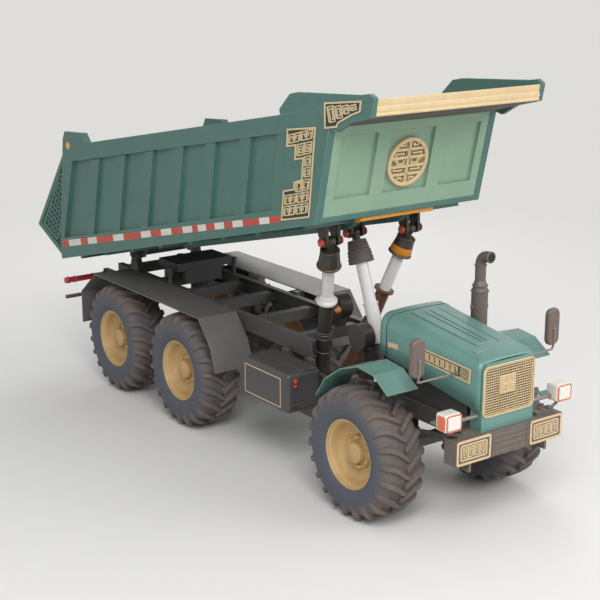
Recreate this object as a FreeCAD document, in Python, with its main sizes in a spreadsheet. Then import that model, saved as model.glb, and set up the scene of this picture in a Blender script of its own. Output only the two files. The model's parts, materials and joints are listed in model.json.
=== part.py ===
import FreeCAD, Part
import Sketcher
import math
import os

# A six-wheeled tipping truck with its bed raised. X runs forward, Y to the left, Z up from the ground.
# Lengths along X are counted from the front axle. The bed's own frame starts at the low corner of
# its tail, with X along the floor, and the wheels' own frame starts at the hub's centre.
SIZES = {
    # wheels and axles
    "tyreRadius": 777.0,
    "tyreCrown": 727.0,
    "tyreShoulder": 690.0,
    "tyreSide": 590.0,
    "sideLow": 480.0,
    "tyreHalfWidth": 297.0,
    "shoulderHalfWidth": 262.0,
    "treadHalfWidth": 225.0,
    "flangeFlare": 6.0,
    "lugBar": 60.0,
    "lugHalfSweep": 130.0,
    "rimFlange": 412.0,
    "rimBarrel": 380.0,
    "rimWall": 14.0,
    "rimHalfWidth": 251.0,
    "hubRadius": 130.0,
    "spindleRadius": 60.0,
    "wheelY": 950.0,
    "frontRearSpacing": 3682.0,
    "tandemSpacing": 1800.0,
    "axleRadius": 85.0,
    "kingpinY": 560.0,
    "kingpinRadius": 30.0,
    # frame
    "railOuter": 560.0,
    "railWidth": 90.0,
    "railTop": 1610.0,
    "railDepth": 220.0,
    "railPlate": 14.0,
    "railRear": 6470.0,
    "railFront": 1560.0,
    "crossHalf": 60.0,
    "lowRailInner": 537.0,
    "lowRailOuter": 590.0,
    "lowRailRear": 1700.0,
    "bridgeRear": 1100.0,
    "bridgeDepth": 100.0,
    "frontRailOuter": 290.0,
    "frontRailWidth": 80.0,
    "frontRailTop": 1240.0,
    "frontRailDepth": 200.0,
    "frontRailNose": 1120.0,
    # bonnet, grille and bumper
    "bonnetRear": 296.0,
    "bonnetFront": 1224.0,
    "bonnetRearTop": 2263.0,
    "bonnetFrontTop": 2069.0,
    "bonnetRearHalf": 508.0,
    "bonnetFrontHalf": 434.0,
    "bonnetShoulder": 150.0,
    "bonnetSkin": 14.0,
    "bonnetRearLow": 1773.0,
    "bonnetFrontLow": 1500.0,
    "firewallDepth": 20.0,
    "firewallInset": 24.0,
    "firewallDrop": 54.0,
    "hingeAhead": 46.0,
    "hingeDrop": 48.0,
    "hingePin": 8.0,
    "hingeY": 334.0,
    "grilleFront": 1290.0,
    "grilleHalf": 389.0,
    "grilleLow": 1400.0,
    "grilleHigh": 1994.0,
    "grilleBorder": 30.0,
    "bumperFront": 1349.0,
    "bumperHalf": 797.0,
    "bumperLow": 967.0,
    "bumperHigh": 1256.0,
    "bumperDepth": 200.0,
    "exhaustRadius": 98.0,
    "pipeRadius": 64.0,
    "exhaustAhead": 140.0,
    "exhaustY": 615.0,
    "exhaustLow": 1610.0,
    "exhaustTop": 2920.0,
    # bed
    "bedTilt": 14.4,
    "pivotBehind": 5970.0,
    "pivotHeight": 1850.0,
    "pivotRadius": 45.0,
    "pivotAlong": 1023.0,
    "pivotBelow": 81.0,
    "bedHalfWidth": 1250.0,
    "sideFace": 1180.0,
    "sideWall": 40.0,
    "floorPlate": 60.0,
    "bedFront": 6602.0,
    "tailReach": 698.0,
    "tailHeight": 566.0,
    "headTop": 1009.0,
    "headLean": 518.0,
    "ledgeRear": 305.0,
    "ledgeFront": 212.0,
    "ribWidth": 230.0,
    "ribPitch": 808.0,
    "ribFirst": 1033.0,
    "canopyReach": 7951.0,
    # hoist
    "cheekPlate": 14.0,
    "outerCheek": 464.0,
    "innerCheek": 20.0,
    "centreCheek": 150.0,
    "shaftY": 412.0,
    "shaftRadius": 36.0,
    "drumRadius": 163.0,
    "drumInner": 210.0,
    "drumOuter": 370.0,
    "stageGap": 0.5,
    "barrelRadius": 97.0,
    "middleRadius": 86.0,
    "innerRadius": 75.0,
    "cupRadius": 140.0,
    "ringRadius": 128.0,
    "eyeRadius": 69.7,
    "runningGap": 6.0,
    "seatGap": 0.3,
}

RIB_COUNT = 7
LUG_COUNT = 22
GRILLE_BARS = 14
CROSS_MEMBERS = (6400, 5417, 4650, 3900, 2940, 1980)
FRONT_MEMBERS = (-350, 1000)
CROSS_SILLS = (450, 1250, 2050, 2850, 3650, 4450, 5250, 6250)

doc = FreeCAD.newDocument("DumpTruck")
sheet = doc.addObject("Spreadsheet::Sheet", "Sizes")


class Length:
    """A size with its value and the sheet formula that it comes from."""

    def __init__(self, value, formula=None):
        self.value = float(value)
        self.formula = formula if formula else "%.6g" % value

    def __add__(self, other):
        other = as_length(other)
        return Length(self.value + other.value, "(%s + %s)" % (self.formula, other.formula))

    def __sub__(self, other):
        other = as_length(other)
        return Length(self.value - other.value, "(%s - %s)" % (self.formula, other.formula))

    def __mul__(self, other):
        other = as_length(other)
        return Length(self.value * other.value, "(%s * %s)" % (self.formula, other.formula))

    def __truediv__(self, other):
        other = as_length(other)
        return Length(self.value / other.value, "(%s / %s)" % (self.formula, other.formula))

    def __neg__(self):
        return Length(-self.value, "(0 - %s)" % self.formula)

    def __radd__(self, other):
        return as_length(other) + self

    def __rsub__(self, other):
        return as_length(other) - self

    def __rmul__(self, other):
        return as_length(other) * self


def as_length(size):
    return size if isinstance(size, Length) else Length(size)


def root(size):
    return Length(math.sqrt(size.value), "sqrt(%s)" % size.formula)


def cosine(angle):
    return Length(math.cos(math.radians(angle.value)), "cos(%s * 1deg)" % angle.formula)


def sine(angle):
    return Length(math.sin(math.radians(angle.value)), "sin(%s * 1deg)" % angle.formula)


def fill_sheet():
    for row, (alias, value) in enumerate(SIZES.items(), 1):
        sheet.set("A%d" % row, alias)
        sheet.set("B%d" % row, str(value))
        sheet.setAlias("B%d" % row, alias)
    doc.recompute()
    return {alias: Length(value, "Sizes.%s" % alias) for alias, value in SIZES.items()}


size = fill_sheet()
nodes = {}


def bind(item, path, length):
    item.setExpression(path, as_length(length).formula)


def place(item, x=0, y=0, z=0):
    """Put an item's own origin at a point that follows the sheet."""
    for axis, length in zip("xyz", (x, y, z)):
        bind(item, "Placement.Base.%s" % axis, length)
    return item


def keep(label, item):
    """Name a finished piece."""
    item.Label = label
    nodes[label] = item
    return item


def origin_plane(body, role):
    return [feature for feature in body.Origin.OriginFeatures if feature.Role == role][0]


def add_arc(sketch, start, end, bulge):
    """Add an arc that bows by bulge to the right of the way from start to end, or left if negative."""
    (u0, v0), (u1, v1) = start, end
    half_square = ((u1 - u0) * (u1 - u0) + (v1 - v0) * (v1 - v0)) / 4
    radius = (half_square + bulge * bulge) / (2 * bulge)
    low, high = (start, end) if bulge.value > 0 else (end, start)
    a = FreeCAD.Vector(low[0].value, low[1].value, 0)
    b = FreeCAD.Vector(high[0].value, high[1].value, 0)
    along = b - a
    left = FreeCAD.Vector(-along.y, along.x, 0).normalize()
    reach = abs(radius.value)
    centre = (a + b) * 0.5 + left * (reach - abs(bulge.value))
    first = math.atan2(a.y - centre.y, a.x - centre.x)
    last = math.atan2(b.y - centre.y, b.x - centre.x)
    if last < first:
        last += 2 * math.pi
    circle = Part.Circle(centre, FreeCAD.Vector(0, 0, 1), reach)
    edge = sketch.addGeometry(Part.ArcOfCircle(circle, first, last))
    rule = sketch.addConstraint(Sketcher.Constraint("Radius", edge, reach))
    sign = 1 if bulge.value > 0 else -1
    bind(sketch, "Constraints[%d]" % rule, radius * sign)
    return (edge, 1, 2) if bulge.value > 0 else (edge, 2, 1)


def draw_loop(sketch, points):
    """Draw a closed outline, anticlockwise; a third value in a point is the bulge of the next edge."""
    corners = [tuple(as_length(value) for value in point[:2]) for point in points]
    edges = []
    for index, point in enumerate(points):
        start = corners[index]
        end = corners[(index + 1) % len(corners)]
        if len(point) > 2:
            edges.append(add_arc(sketch, start, end, as_length(point[2])))
        else:
            a = FreeCAD.Vector(start[0].value, start[1].value, 0)
            b = FreeCAD.Vector(end[0].value, end[1].value, 0)
            edges.append((sketch.addGeometry(Part.LineSegment(a, b)), 1, 2))
    for index, (edge, first, last) in enumerate(edges):
        following, its_first, _ = edges[(index + 1) % len(edges)]
        sketch.addConstraint(Sketcher.Constraint("Coincident", edge, last, following, its_first))
        for kind, length in zip(("DistanceX", "DistanceY"), corners[index]):
            rule = sketch.addConstraint(Sketcher.Constraint(kind, -1, 1, edge, first, length.value))
            bind(sketch, "Constraints[%d]" % rule, length)


def draw_circle(sketch, u, v, radius):
    u, v, radius = as_length(u), as_length(v), as_length(radius)
    circle = Part.Circle(FreeCAD.Vector(u.value, v.value, 0), FreeCAD.Vector(0, 0, 1), radius.value)
    edge = sketch.addGeometry(circle)
    for kind, length in zip(("DistanceX", "DistanceY"), (u, v)):
        rule = sketch.addConstraint(Sketcher.Constraint(kind, -1, 1, edge, 3, length.value))
        bind(sketch, "Constraints[%d]" % rule, length)
    rule = sketch.addConstraint(Sketcher.Constraint("Radius", edge, radius.value))
    bind(sketch, "Constraints[%d]" % rule, radius)


def new_sketch(body, role, loops, rise=None, circles=()):
    sketch = body.newObject("Sketcher::SketchObject", "Outline")
    sketch.AttachmentSupport = [(origin_plane(body, role), "")]
    sketch.MapMode = "FlatFace"
    if rise is not None:
        bind(sketch, "AttachmentOffset.Base.z", rise)
    for loop in loops:
        draw_loop(sketch, loop)
    for u, v, radius in circles:
        draw_circle(sketch, u, v, radius)
    return sketch


def new_body(name):
    return doc.addObject("PartDesign::Body", name)


def pad(name, role, loops, depth, circles=()):
    """Make a prism from an outline on one of the body's own planes."""
    body = new_body(name)
    sketch = new_sketch(body, role, loops, circles=circles)
    feature = body.newObject("PartDesign::Pad", "Pad")
    feature.Profile = sketch
    bind(feature, "Length", depth)
    return body


def side_plate(name, loops, low, high, x=0, z=0, circles=()):
    """A prism whose outline lies in X and Z, between two values of Y."""
    body = pad(name, "XZ_Plane", loops, as_length(high) - low, circles)
    return place(body, x, high, z)


def cross_plate(name, loops, low, high, y=0, z=0, circles=()):
    """A prism whose outline lies in Y and Z, between two values of X."""
    body = pad(name, "YZ_Plane", loops, as_length(high) - low, circles)
    return place(body, low, y, z)


def box(name, x, y, z):
    """A block between pairs of values of X, Y and Z."""
    item = doc.addObject("Part::Box", name)
    for side, (low, high) in zip(("Length", "Width", "Height"), (x, y, z)):
        bind(item, side, as_length(high) - low)
    return place(item, x[0], y[0], z[0])


def rod(name, along, start, length, radius, bore=None):
    """A round bar or a tube along X, Y or Z from its start point."""
    item = doc.addObject("Part::Cylinder", name)
    bind(item, "Height", length)
    bind(item, "Radius", radius)
    turns = {"x": ((0, 1, 0), 90), "y": ((1, 0, 0), -90), "z": ((0, 0, 1), 0)}
    axis, angle = turns[along]
    item.Placement = FreeCAD.Placement(FreeCAD.Vector(), FreeCAD.Rotation(FreeCAD.Vector(*axis), angle))
    place(item, *start)
    if bore is None:
        return item
    core = rod(name + "Bore", along, start, length, bore)
    return cut(name + "Tube", item, core)


def turned(name, outline):
    """A solid turned about Y from half of its section, given as (Y, radius) from one end to the other."""
    body = new_body(name)
    sketch = new_sketch(body, "YZ_Plane", [outline])
    feature = body.newObject("PartDesign::Revolution", "Turned")
    feature.Profile = sketch
    feature.ReferenceAxis = (sketch, ["H_Axis"])
    feature.Angle = 360
    return body


def fuse(name, items):
    if len(items) == 1:
        return items[0]
    item = doc.addObject("Part::MultiFuse", name)
    item.Shapes = items
    return item


def cut(name, base, tool):
    item = doc.addObject("Part::Cut", name)
    item.Base = base
    item.Tool = tool
    return item


def span(side, inner, outer):
    """The low and high Y of a strip on the left (1) or the right (-1)."""
    inner, outer = as_length(inner), as_length(outer)
    return (inner, outer) if side > 0 else (-outer, -inner)


SIDES = {"left": 1, "right": -1}

# Where the front axle lies: the whole truck is centred over the origin.
tilt_cosine = cosine(size["bedTilt"])
tilt_sine = sine(size["bedTilt"])
tail_behind_pivot = size["pivotAlong"] * tilt_cosine + size["pivotBelow"] * tilt_sine
corner_behind_tail = size["tailReach"] * tilt_cosine + size["tailHeight"] * tilt_sine
rear_reach = size["pivotBehind"] + tail_behind_pivot + corner_behind_tail
front_axle = (rear_reach - size["bumperFront"]) / 2
pivot_x = front_axle - size["pivotBehind"]
front_rear_axle = front_axle - size["frontRearSpacing"]
last_axle = front_rear_axle - size["tandemSpacing"]
axle_height = size["tyreRadius"]
tail_x = pivot_x - tail_behind_pivot
tail_z = size["pivotHeight"] - size["pivotAlong"] * tilt_sine + size["pivotBelow"] * tilt_cosine


def ahead(offset):
    """The X of a point that lies offset ahead of the front axle."""
    return front_axle + offset


def row_round(body, feature, name):
    """Repeat a feature of a tyre once for each lug."""
    row = body.newObject("PartDesign::PolarPattern", name)
    row.Originals = [feature]
    row.Axis = (origin_plane(body, "Y_Axis"), [""])
    row.Angle = 360
    row.Occurrences = LUG_COUNT
    body.Tip = row


def turned_lug(body, side, turn):
    """One bar of the tread, from near the centre line out over the shoulder, and its row round the tyre."""
    sweep = size["lugHalfSweep"]
    bar = size["lugBar"]
    tip_plane = root(size["tyreRadius"] * size["tyreRadius"] - sweep * sweep)
    near = 12 * side
    far = (size["tyreHalfWidth"] - 10) * side
    loop = [(-sweep, near), (-sweep + bar, near), (sweep, far), (sweep - bar, far)]
    sketch = new_sketch(body, "XY_Plane", [loop if side > 0 else loop[::-1]])
    rotation = FreeCAD.Rotation(FreeCAD.Vector(0, 1, 0), turn)
    drop = rotation.multVec(FreeCAD.Vector(0, 0, -tip_plane.value))
    sketch.AttachmentOffset = FreeCAD.Placement(drop, rotation)
    bar_pad = body.newObject("PartDesign::Pad", "LugBar")
    bar_pad.Profile = sketch
    bind(bar_pad, "Length", tip_plane - size["tyreShoulder"] + 50)
    row_round(body, bar_pad, "LugRow")


def make_tyre():
    """A carcass with a flat for each lug, bevelled shoulders and a turned bore, and two rows of lugs."""
    body = new_body("Tyre")
    half = size["tyreHalfWidth"]
    tread = size["treadHalfWidth"]
    shoulder = size["shoulderHalfWidth"]
    crown = size["tyreCrown"]
    step = Length(180.0 / LUG_COUNT)
    corner = crown / cosine(step)
    ring = []
    for index in range(LUG_COUNT):
        angle = step * (2 * index + 1)
        ring.append((corner * cosine(angle), corner * sine(angle)))
    sketch = new_sketch(body, "XZ_Plane", [ring], rise=-half)
    carcass = body.newObject("PartDesign::Pad", "Carcass")
    carcass.Profile = sketch
    bind(carcass, "Length", half * 2)
    flat_half = corner * sine(step) + 20
    over = 20
    loops = []
    for side in (1, -1):
        loop = [
            (tread * side, crown),
            (shoulder * side, size["tyreShoulder"]),
            (half * side, size["tyreSide"]),
            ((half + over) * side, size["tyreSide"]),
            ((half + over) * side, crown + over),
            (tread * side, crown + over),
        ]
        loops.append(loop if side > 0 else loop[::-1])
    sketch = new_sketch(body, "YZ_Plane", loops, rise=flat_half)
    bevel = body.newObject("PartDesign::Pocket", "Bevel")
    bevel.Profile = sketch
    bind(bevel, "Length", flat_half * 2)
    row_round(body, bevel, "Bevels")
    bead = size["rimHalfWidth"] - size["rimWall"] - size["flangeFlare"] - size["seatGap"]
    seat = size["rimBarrel"] + size["seatGap"]
    lip = size["rimFlange"] + size["seatGap"]
    side_low = lip + (size["sideLow"] - lip) * (half + over - bead) / (half - bead)
    hollow = [
        (-half - over, 0),
        (half + over, 0),
        (half + over, side_low),
        (bead, lip),
        (bead, seat),
        (-bead, seat),
        (-bead, lip),
        (-half - over, side_low),
    ]
    sketch = new_sketch(body, "YZ_Plane", [hollow])
    groove = body.newObject("PartDesign::Groove", "Hollow")
    groove.Profile = sketch
    groove.ReferenceAxis = (sketch, ["H_Axis"])
    groove.Angle = 360
    body.Tip = groove
    lean = math.degrees(math.asin(size["lugHalfSweep"].value / size["tyreRadius"].value))
    turned_lug(body, 1, lean)
    turned_lug(body, -1, lean + step.value)
    return body


def make_rim():
    """A deep-dished wheel with its hub, turned in one section; the outer face is towards +Y."""
    body = new_body("Rim")
    half = size["rimHalfWidth"]
    barrel = size["rimBarrel"]
    wall = size["rimWall"]
    flange = size["rimFlange"]
    hub = size["hubRadius"]
    bore = size["spindleRadius"] + 0.05
    disc = Length(40)
    flare = size["flangeFlare"]
    loop = [
        (-half, flange),
        (-half, flange - wall),
        (-half + wall, barrel - wall),
        (disc, barrel - wall),
        (disc, hub + 40),
        (-110, hub),
        (-110, bore),
        (100, bore),
        (100, 0),
        (178, 0),
        (162, hub - 24),
        (disc + 40, hub),
        (disc + wall, hub + 50),
        (disc + wall, barrel - 78),
        (half - 26, barrel - wall),
        (half, flange - wall),
        (half, flange),
        (half - wall, flange),
        (half - wall - flare, barrel),
        (-half + wall + flare, barrel),
        (-half + wall, flange),
    ]
    sketch = new_sketch(body, "YZ_Plane", [loop])
    turned = body.newObject("PartDesign::Revolution", "Turned")
    turned.Profile = sketch
    turned.ReferenceAxis = (sketch, ["H_Axis"])
    turned.Angle = 360
    return body


def clone_of(name, master):
    body = new_body(name)
    body.BaseFeature = master
    return body


def make_wheels():
    tyre = make_tyre()
    rim = make_rim()
    wheels = {"front": ahead(0), "middle": front_rear_axle, "rear": last_axle}
    for place_name, x in wheels.items():
        for side_name, side in SIDES.items():
            ending = "%s_%s" % (place_name, side_name)
            own_tyre = clone_of("TyreCopy", tyre)
            place(own_tyre, x, size["wheelY"] * side, axle_height)
            keep("tyre_" + ending, own_tyre)
            own_rim = clone_of("RimCopy", rim)
            if side < 0:
                turn = FreeCAD.Rotation(FreeCAD.Vector(0, 0, 1), 180)
                own_rim.Placement = FreeCAD.Placement(FreeCAD.Vector(), turn)
            place(own_rim, x, size["wheelY"] * side, axle_height)
            keep("wheel_" + ending, own_rim)


def make_frame():
    """Two channels behind, two low rails beside the rams, two narrow rails in front, and cross members."""
    top = size["railTop"]
    low = top - size["railDepth"]
    outer = size["railOuter"]
    inner = outer - size["railWidth"]
    plate = size["railPlate"]
    rear = ahead(-size["railRear"])
    front = ahead(-size["railFront"])
    low_rear = ahead(-size["lowRailRear"])
    bridge = ahead(-size["bridgeRear"])
    bridge_front = bridge + size["bridgeDepth"]
    front_top = size["frontRailTop"]
    front_low = front_top - size["frontRailDepth"]
    nose = ahead(size["frontRailNose"])
    front_inner = size["frontRailOuter"] - size["frontRailWidth"]
    items = []
    for side in (1, -1):
        channel = [
            (outer * side, low),
            (outer * side, top),
            (inner * side, top),
            (inner * side, top - plate),
            ((outer - plate) * side, top - plate),
            ((outer - plate) * side, low + plate),
            (inner * side, low + plate),
            (inner * side, low),
        ]
        items.append(cross_plate("RearRail", [channel if side > 0 else channel[::-1]], rear, front))
        low_rail = span(side, size["lowRailInner"], size["lowRailOuter"])
        items.append(box("LowRail", (low_rear, bridge_front), low_rail, (front_low, front_top)))
        step = span(side, size["lowRailInner"], outer)
        items.append(box("StepPlate", (low_rear, front), step, (front_low, top)))
        items.append(box("Bridge", (bridge, bridge_front), span(side, front_inner, size["lowRailOuter"]),
                         (front_low, front_top)))
        items.append(box("FrontRail", (bridge, nose), span(side, front_inner, size["frontRailOuter"]),
                         (front_low, front_top)))
    half = size["crossHalf"]
    between = (-(outer - plate), outer - plate)
    for offset in CROSS_MEMBERS:
        x = ahead(-offset)
        items.append(box("CrossMember", (x - half, x + half), between, (low + 40, top - 40)))
    for offset in FRONT_MEMBERS:
        x = ahead(offset)
        items.append(box("FrontMember", (x - half, x + half), (-front_inner, front_inner),
                         (front_low + 40, front_top - 40)))
    keep("chassis_frame", fuse("ChassisFrame", items))


def make_front_axle():
    """A beam between two upright eyes that hold the kingpins."""
    x = ahead(0)
    king = size["kingpinY"]
    eye_low = axle_height - 70
    loop = [
        (-king, -60),
        (-king + 90, -60),
        (-king + 200, -130),
        (king - 200, -130),
        (king - 90, -60),
        (king, -60),
        (king, 40),
        (king - 180, -10),
        (-king + 180, -10),
        (-king, 40),
    ]
    items = [cross_plate("Beam", [loop], x - 60, x + 60, 0, axle_height)]
    for side in (1, -1):
        items.append(rod("Eye", "z", (x, king * side, eye_low), 140, 72))
    beam = fuse("BeamAndEyes", items)
    bores = [rod("EyeBore", "z", (x, king * side, eye_low - 40), 220, size["kingpinRadius"] + 0.05)
             for side in (1, -1)]
    keep("front_axle", cut("FrontAxle", beam, fuse("EyeBores", bores)))


def make_rear_axles():
    """Two live axles: a tube with its gear case to the left, and a spindle at each end."""
    items = []
    spindle_from = size["wheelY"] - 118
    for x in (front_rear_axle, last_axle):
        items.append(rod("AxleTube", "y", (x, -spindle_from, axle_height), spindle_from * 2,
                         size["axleRadius"]))
        items.append(rod("Spindle", "y", (x, -(size["wheelY"] + 90), axle_height),
                         (size["wheelY"] + 90) * 2, size["spindleRadius"]))
        items.append(rod("GearCase", "x", (x - 130, 330, axle_height), 260, 150))
        items.append(rod("Input", "x", (x - 190, size["shaftY"], axle_height), 380, 62))
    keep("rear_axles", fuse("RearAxles", items))


def make_springs():
    """Leaf packs: one pair over the front axle, one pair from axle to axle under each rail."""
    front_low = size["frontRailTop"] - size["frontRailDepth"]
    items = []
    for side in (1, -1):
        low, high = span(side, size["frontRailOuter"] - size["frontRailWidth"], size["frontRailOuter"])
        z = axle_height - 10
        leaf = [(-620, 200), (0, 0), (620, 200), (620, 230), (90, 130), (-90, 130), (-620, 230)]
        items.append(side_plate("FrontLeaf", [leaf], low, high, ahead(0), z))
        for end in (-600, 600):
            items.append(box("Hanger", (ahead(end - 40), ahead(end + 40)), (low, high), (z + 200, front_low)))
        middle = (front_rear_axle + last_axle) / 2
        reach = size["tandemSpacing"] / 2
        z = axle_height + size["axleRadius"]
        tip = reach + 90
        strip = [(-tip, 0), (tip, 0), (tip, 40), (150, 210), (-150, 210), (-tip, 40)]
        low, high = span(side, size["railOuter"] - 70, size["railOuter"])
        items.append(side_plate("TandemLeaf", [strip], low, high, middle, z))
        items.append(box("Trunnion", (middle - 130, middle + 130), (low, high),
                         (z + 205, size["railTop"] - size["railDepth"])))
    keep("springs", fuse("Springs", items))


def make_engine_bay():
    """Engine block on the front rails, with the gearbox behind it."""
    top = size["frontRailTop"]
    engine = [
        box("Block", (ahead(-250), ahead(900)), (-250, 250), (top, top + 620)),
        box("Gearbox", (ahead(-620), ahead(-250)), (-180, 180), (top, top + 330)),
    ]
    keep("engine", fuse("Engine", engine))
    rear = ahead(-size["bonnetRear"]) + size["runningGap"]
    half = size["bonnetRearHalf"] - size["firewallInset"]
    high = size["bonnetRearTop"] - size["firewallDrop"]
    chamfer = size["bonnetShoulder"]
    wall = [
        (-half, top),
        (-190, top),
        (-190, top + 340),
        (190, top + 340),
        (190, top),
        (half, top),
        (half, high - chamfer),
        (half - chamfer, high),
        (-half + chamfer, high),
        (-half, high - chamfer),
    ]
    front = rear + size["firewallDepth"]
    items = [cross_plate("Wall", [wall], rear, front)]
    x = ahead(size["hingeAhead"] - size["bonnetRear"])
    z = size["bonnetRearTop"] - size["hingeDrop"]
    for side in (1, -1):
        low, high = span(side, size["hingeY"], size["hingeY"] + 16)
        items.append(box("HingeLug", (front - 6, x + 10), (low, high), (z - 15, z + 13)))
        low, high = span(side, size["hingeY"], size["hingeY"] + 46)
        items.append(rod("HingePin", "y", (x, low, z), high - low, size["hingePin"]))
    keep("firewall", fuse("Firewall", items))


def bonnet_section(half, low, top, shoulder):
    return [
        (-half, low),
        (half, low),
        (half, top - shoulder),
        (half - shoulder * 0.3, top - shoulder * 0.3),
        (half - shoulder, top),
        (-half + shoulder, top),
        (-half + shoulder * 0.3, top - shoulder * 0.3),
        (-half, top - shoulder),
    ]


def make_bonnet():
    """A tapering hood, hollow below and at both ends."""
    body = new_body("Bonnet")
    length = size["bonnetRear"] + size["bonnetFront"]
    skin = size["bonnetSkin"]
    shoulder = size["bonnetShoulder"]
    rear_low = size["bonnetRearLow"]
    front_low = size["bonnetFrontLow"]
    faces = []
    for inset, low_drop in ((Length(0), Length(0)), (skin, Length(80))):
        rear = bonnet_section(size["bonnetRearHalf"] - inset, rear_low - low_drop,
                              size["bonnetRearTop"] - inset, shoulder - inset * 0.4)
        front = bonnet_section(size["bonnetFrontHalf"] - inset, front_low - low_drop,
                               size["bonnetFrontTop"] - inset, shoulder * 0.8 - inset * 0.4)
        faces.append((new_sketch(body, "YZ_Plane", [rear]),
                      new_sketch(body, "YZ_Plane", [front], rise=length)))
    shell = body.newObject("PartDesign::AdditiveLoft", "Shell")
    shell.Profile = faces[0][0]
    shell.Sections = [faces[0][1]]
    shell.Ruled = True
    doc.recompute()
    hollow = body.newObject("PartDesign::SubtractiveLoft", "Hollow")
    hollow.Profile = faces[1][0]
    hollow.Sections = [faces[1][1]]
    hollow.Ruled = True
    place(body, ahead(-size["bonnetRear"]), 0, 0)
    x = ahead(size["hingeAhead"] - size["bonnetRear"])
    z = size["bonnetRearTop"] - size["hingeDrop"]
    items = [body]
    for side in (1, -1):
        low, high = span(side, size["hingeY"] + 22, size["hingeY"] + 36)
        tab = [(-14, -14), (14, -14), (14, 33), (-14, 33)]
        bore = (0, 0, size["hingePin"] + size["seatGap"])
        items.append(side_plate("Tab", [tab], low, high, x, z, circles=[bore]))
    keep("bonnet", fuse("BonnetAndTabs", items))


def make_nose():
    """The painted surround that stands on the front rails and holds the grille."""
    front = ahead(size["grilleFront"])
    half = size["grilleHalf"]
    low = size["grilleLow"]
    high = size["grilleHigh"]
    post = 22
    foot = size["bumperHigh"] + size["seatGap"]
    outer = half + post
    outline = [(-outer, foot), (outer, foot), (outer, high - 60),
               (half - 40, high + 30), (-half + 40, high + 30), (-outer, high - 60)]
    inner = half - 12
    opening = [(-inner, low + 12), (-inner, high - 12), (inner, high - 12), (inner, low + 12)]
    keep("nose_shell", cross_plate("NoseShell", [outline, opening[::-1]], front - 190, front - 12))
    border = size["grilleBorder"]
    rim = [(-half, low), (half, low), (half, high), (-half, high)]
    inside = [(-half + border, low + border), (-half + border, high - border),
              (half - border, high - border), (half - border, low + border)]
    items = [cross_plate("GrilleRim", [rim, inside[::-1]], front - 12, front)]
    pitch = (high - low - border * 2) / (GRILLE_BARS + 1)
    for index in range(1, GRILLE_BARS + 1):
        z = low + border + pitch * index
        items.append(box("Bar", (front - 12, front - 2), (-half + border, half - border), (z - 7, z + 7)))
    keep("grille", fuse("Grille", items))


def make_bumper():
    front = ahead(size["bumperFront"])
    rear = front - size["bumperDepth"]
    half = size["bumperHalf"]
    low = size["bumperLow"]
    high = size["bumperHigh"]
    items = [box("Beam", (rear, front - 14), (-half, half), (low, high))]
    for side in (1, -1):
        plate = span(side, half - 390, half - 10)
        items.append(box("Plate", (front - 14, front), plate, (low + 20, high - 40)))
        eye = box("Eye", (front - 150, front - 30), span(side, half - 240, half - 210), (low - 110, low))
        low_y = span(side, half - 260, half - 190)[0]
        bore = rod("EyeBore", "y", (front - 90, low_y, low - 60), 70, 24)
        items.append(cut("TowEye", eye, bore))
        items.append(box("Step", (rear, rear + 120), span(side, half - 330, half - 80), (high, high + 34)))
    pitch = (high - low - 60) / 5
    for index in range(5):
        z = low + 20 + pitch * index
        items.append(box("Rib", (front - 14, front - 2), (-half + 410, half - 410), (z, z + 20)))
    for side in (1, -1):
        y = span(side, size["frontRailOuter"] - size["frontRailWidth"], size["frontRailOuter"])
        items.append(box("Bracket", (ahead(size["frontRailNose"]), rear), y, (low + 80, high - 40)))
    keep("bumper", fuse("Bumper", items))


def make_lamps_and_mirrors():
    lamps = []
    mirrors = []
    for side in (1, -1):
        x = ahead(1150)
        lamps.append(box("Lamp", (x, x + 190), span(side, 720, 930), (1364, 1541)))
        arm = span(side, size["grilleHalf"] + 22.3, 725)
        lamps.append(box("LampArm", (x + 40, x + 100), arm, (1400, 1450)))
        x = ahead(939)
        mirrors.append(rod("Stem", "z", (x, 1011 * side, 1850), 60, 14))
        start = 449 if side > 0 else -1011
        mirrors.append(rod("Arm", "y", (x, start, 1850), 562, 14))
        mirrors.append(box("Head", (x - 60, x + 20), span(side, 1011 - 95, 1011 + 95), (1900, 2338)))
    keep("headlamps", fuse("Headlamps", lamps))
    keep("mirrors", fuse("Mirrors", mirrors))


def make_exhaust():
    """A silencer that stands beside the bonnet, with a pipe and an elbow on top."""
    x = ahead(size["exhaustAhead"])
    y = size["exhaustY"]
    low = size["exhaustLow"]
    bend = Length(110)
    top = Length(2450)
    pipe_top = size["exhaustTop"] - bend - size["pipeRadius"]
    items = [
        rod("Silencer", "z", (x, y, low), top - low, size["exhaustRadius"]),
        rod("Collar", "z", (x, y, top), 60, size["exhaustRadius"] - 14),
        rod("Pipe", "z", (x, y, top), pipe_top - top, size["pipeRadius"]),
    ]
    elbow = doc.addObject("Part::Torus", "Elbow")
    bind(elbow, "Radius1", bend)
    bind(elbow, "Radius2", size["pipeRadius"])
    elbow.Angle3 = 90
    turn = FreeCAD.Rotation(FreeCAD.Vector(0, 0, 1), 180) * FreeCAD.Rotation(FreeCAD.Vector(1, 0, 0), 90)
    elbow.Placement = FreeCAD.Placement(FreeCAD.Vector(), turn)
    place(elbow, x + bend, y, pipe_top)
    items.append(elbow)
    items.append(rod("Tail", "x", (x + bend, y, pipe_top + bend), 60, size["pipeRadius"]))
    items.append(rod("Inlet", "y", (x, 250.3, low + 40), y - 250.3, 25))
    keep("exhaust", fuse("Exhaust", items))


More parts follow.
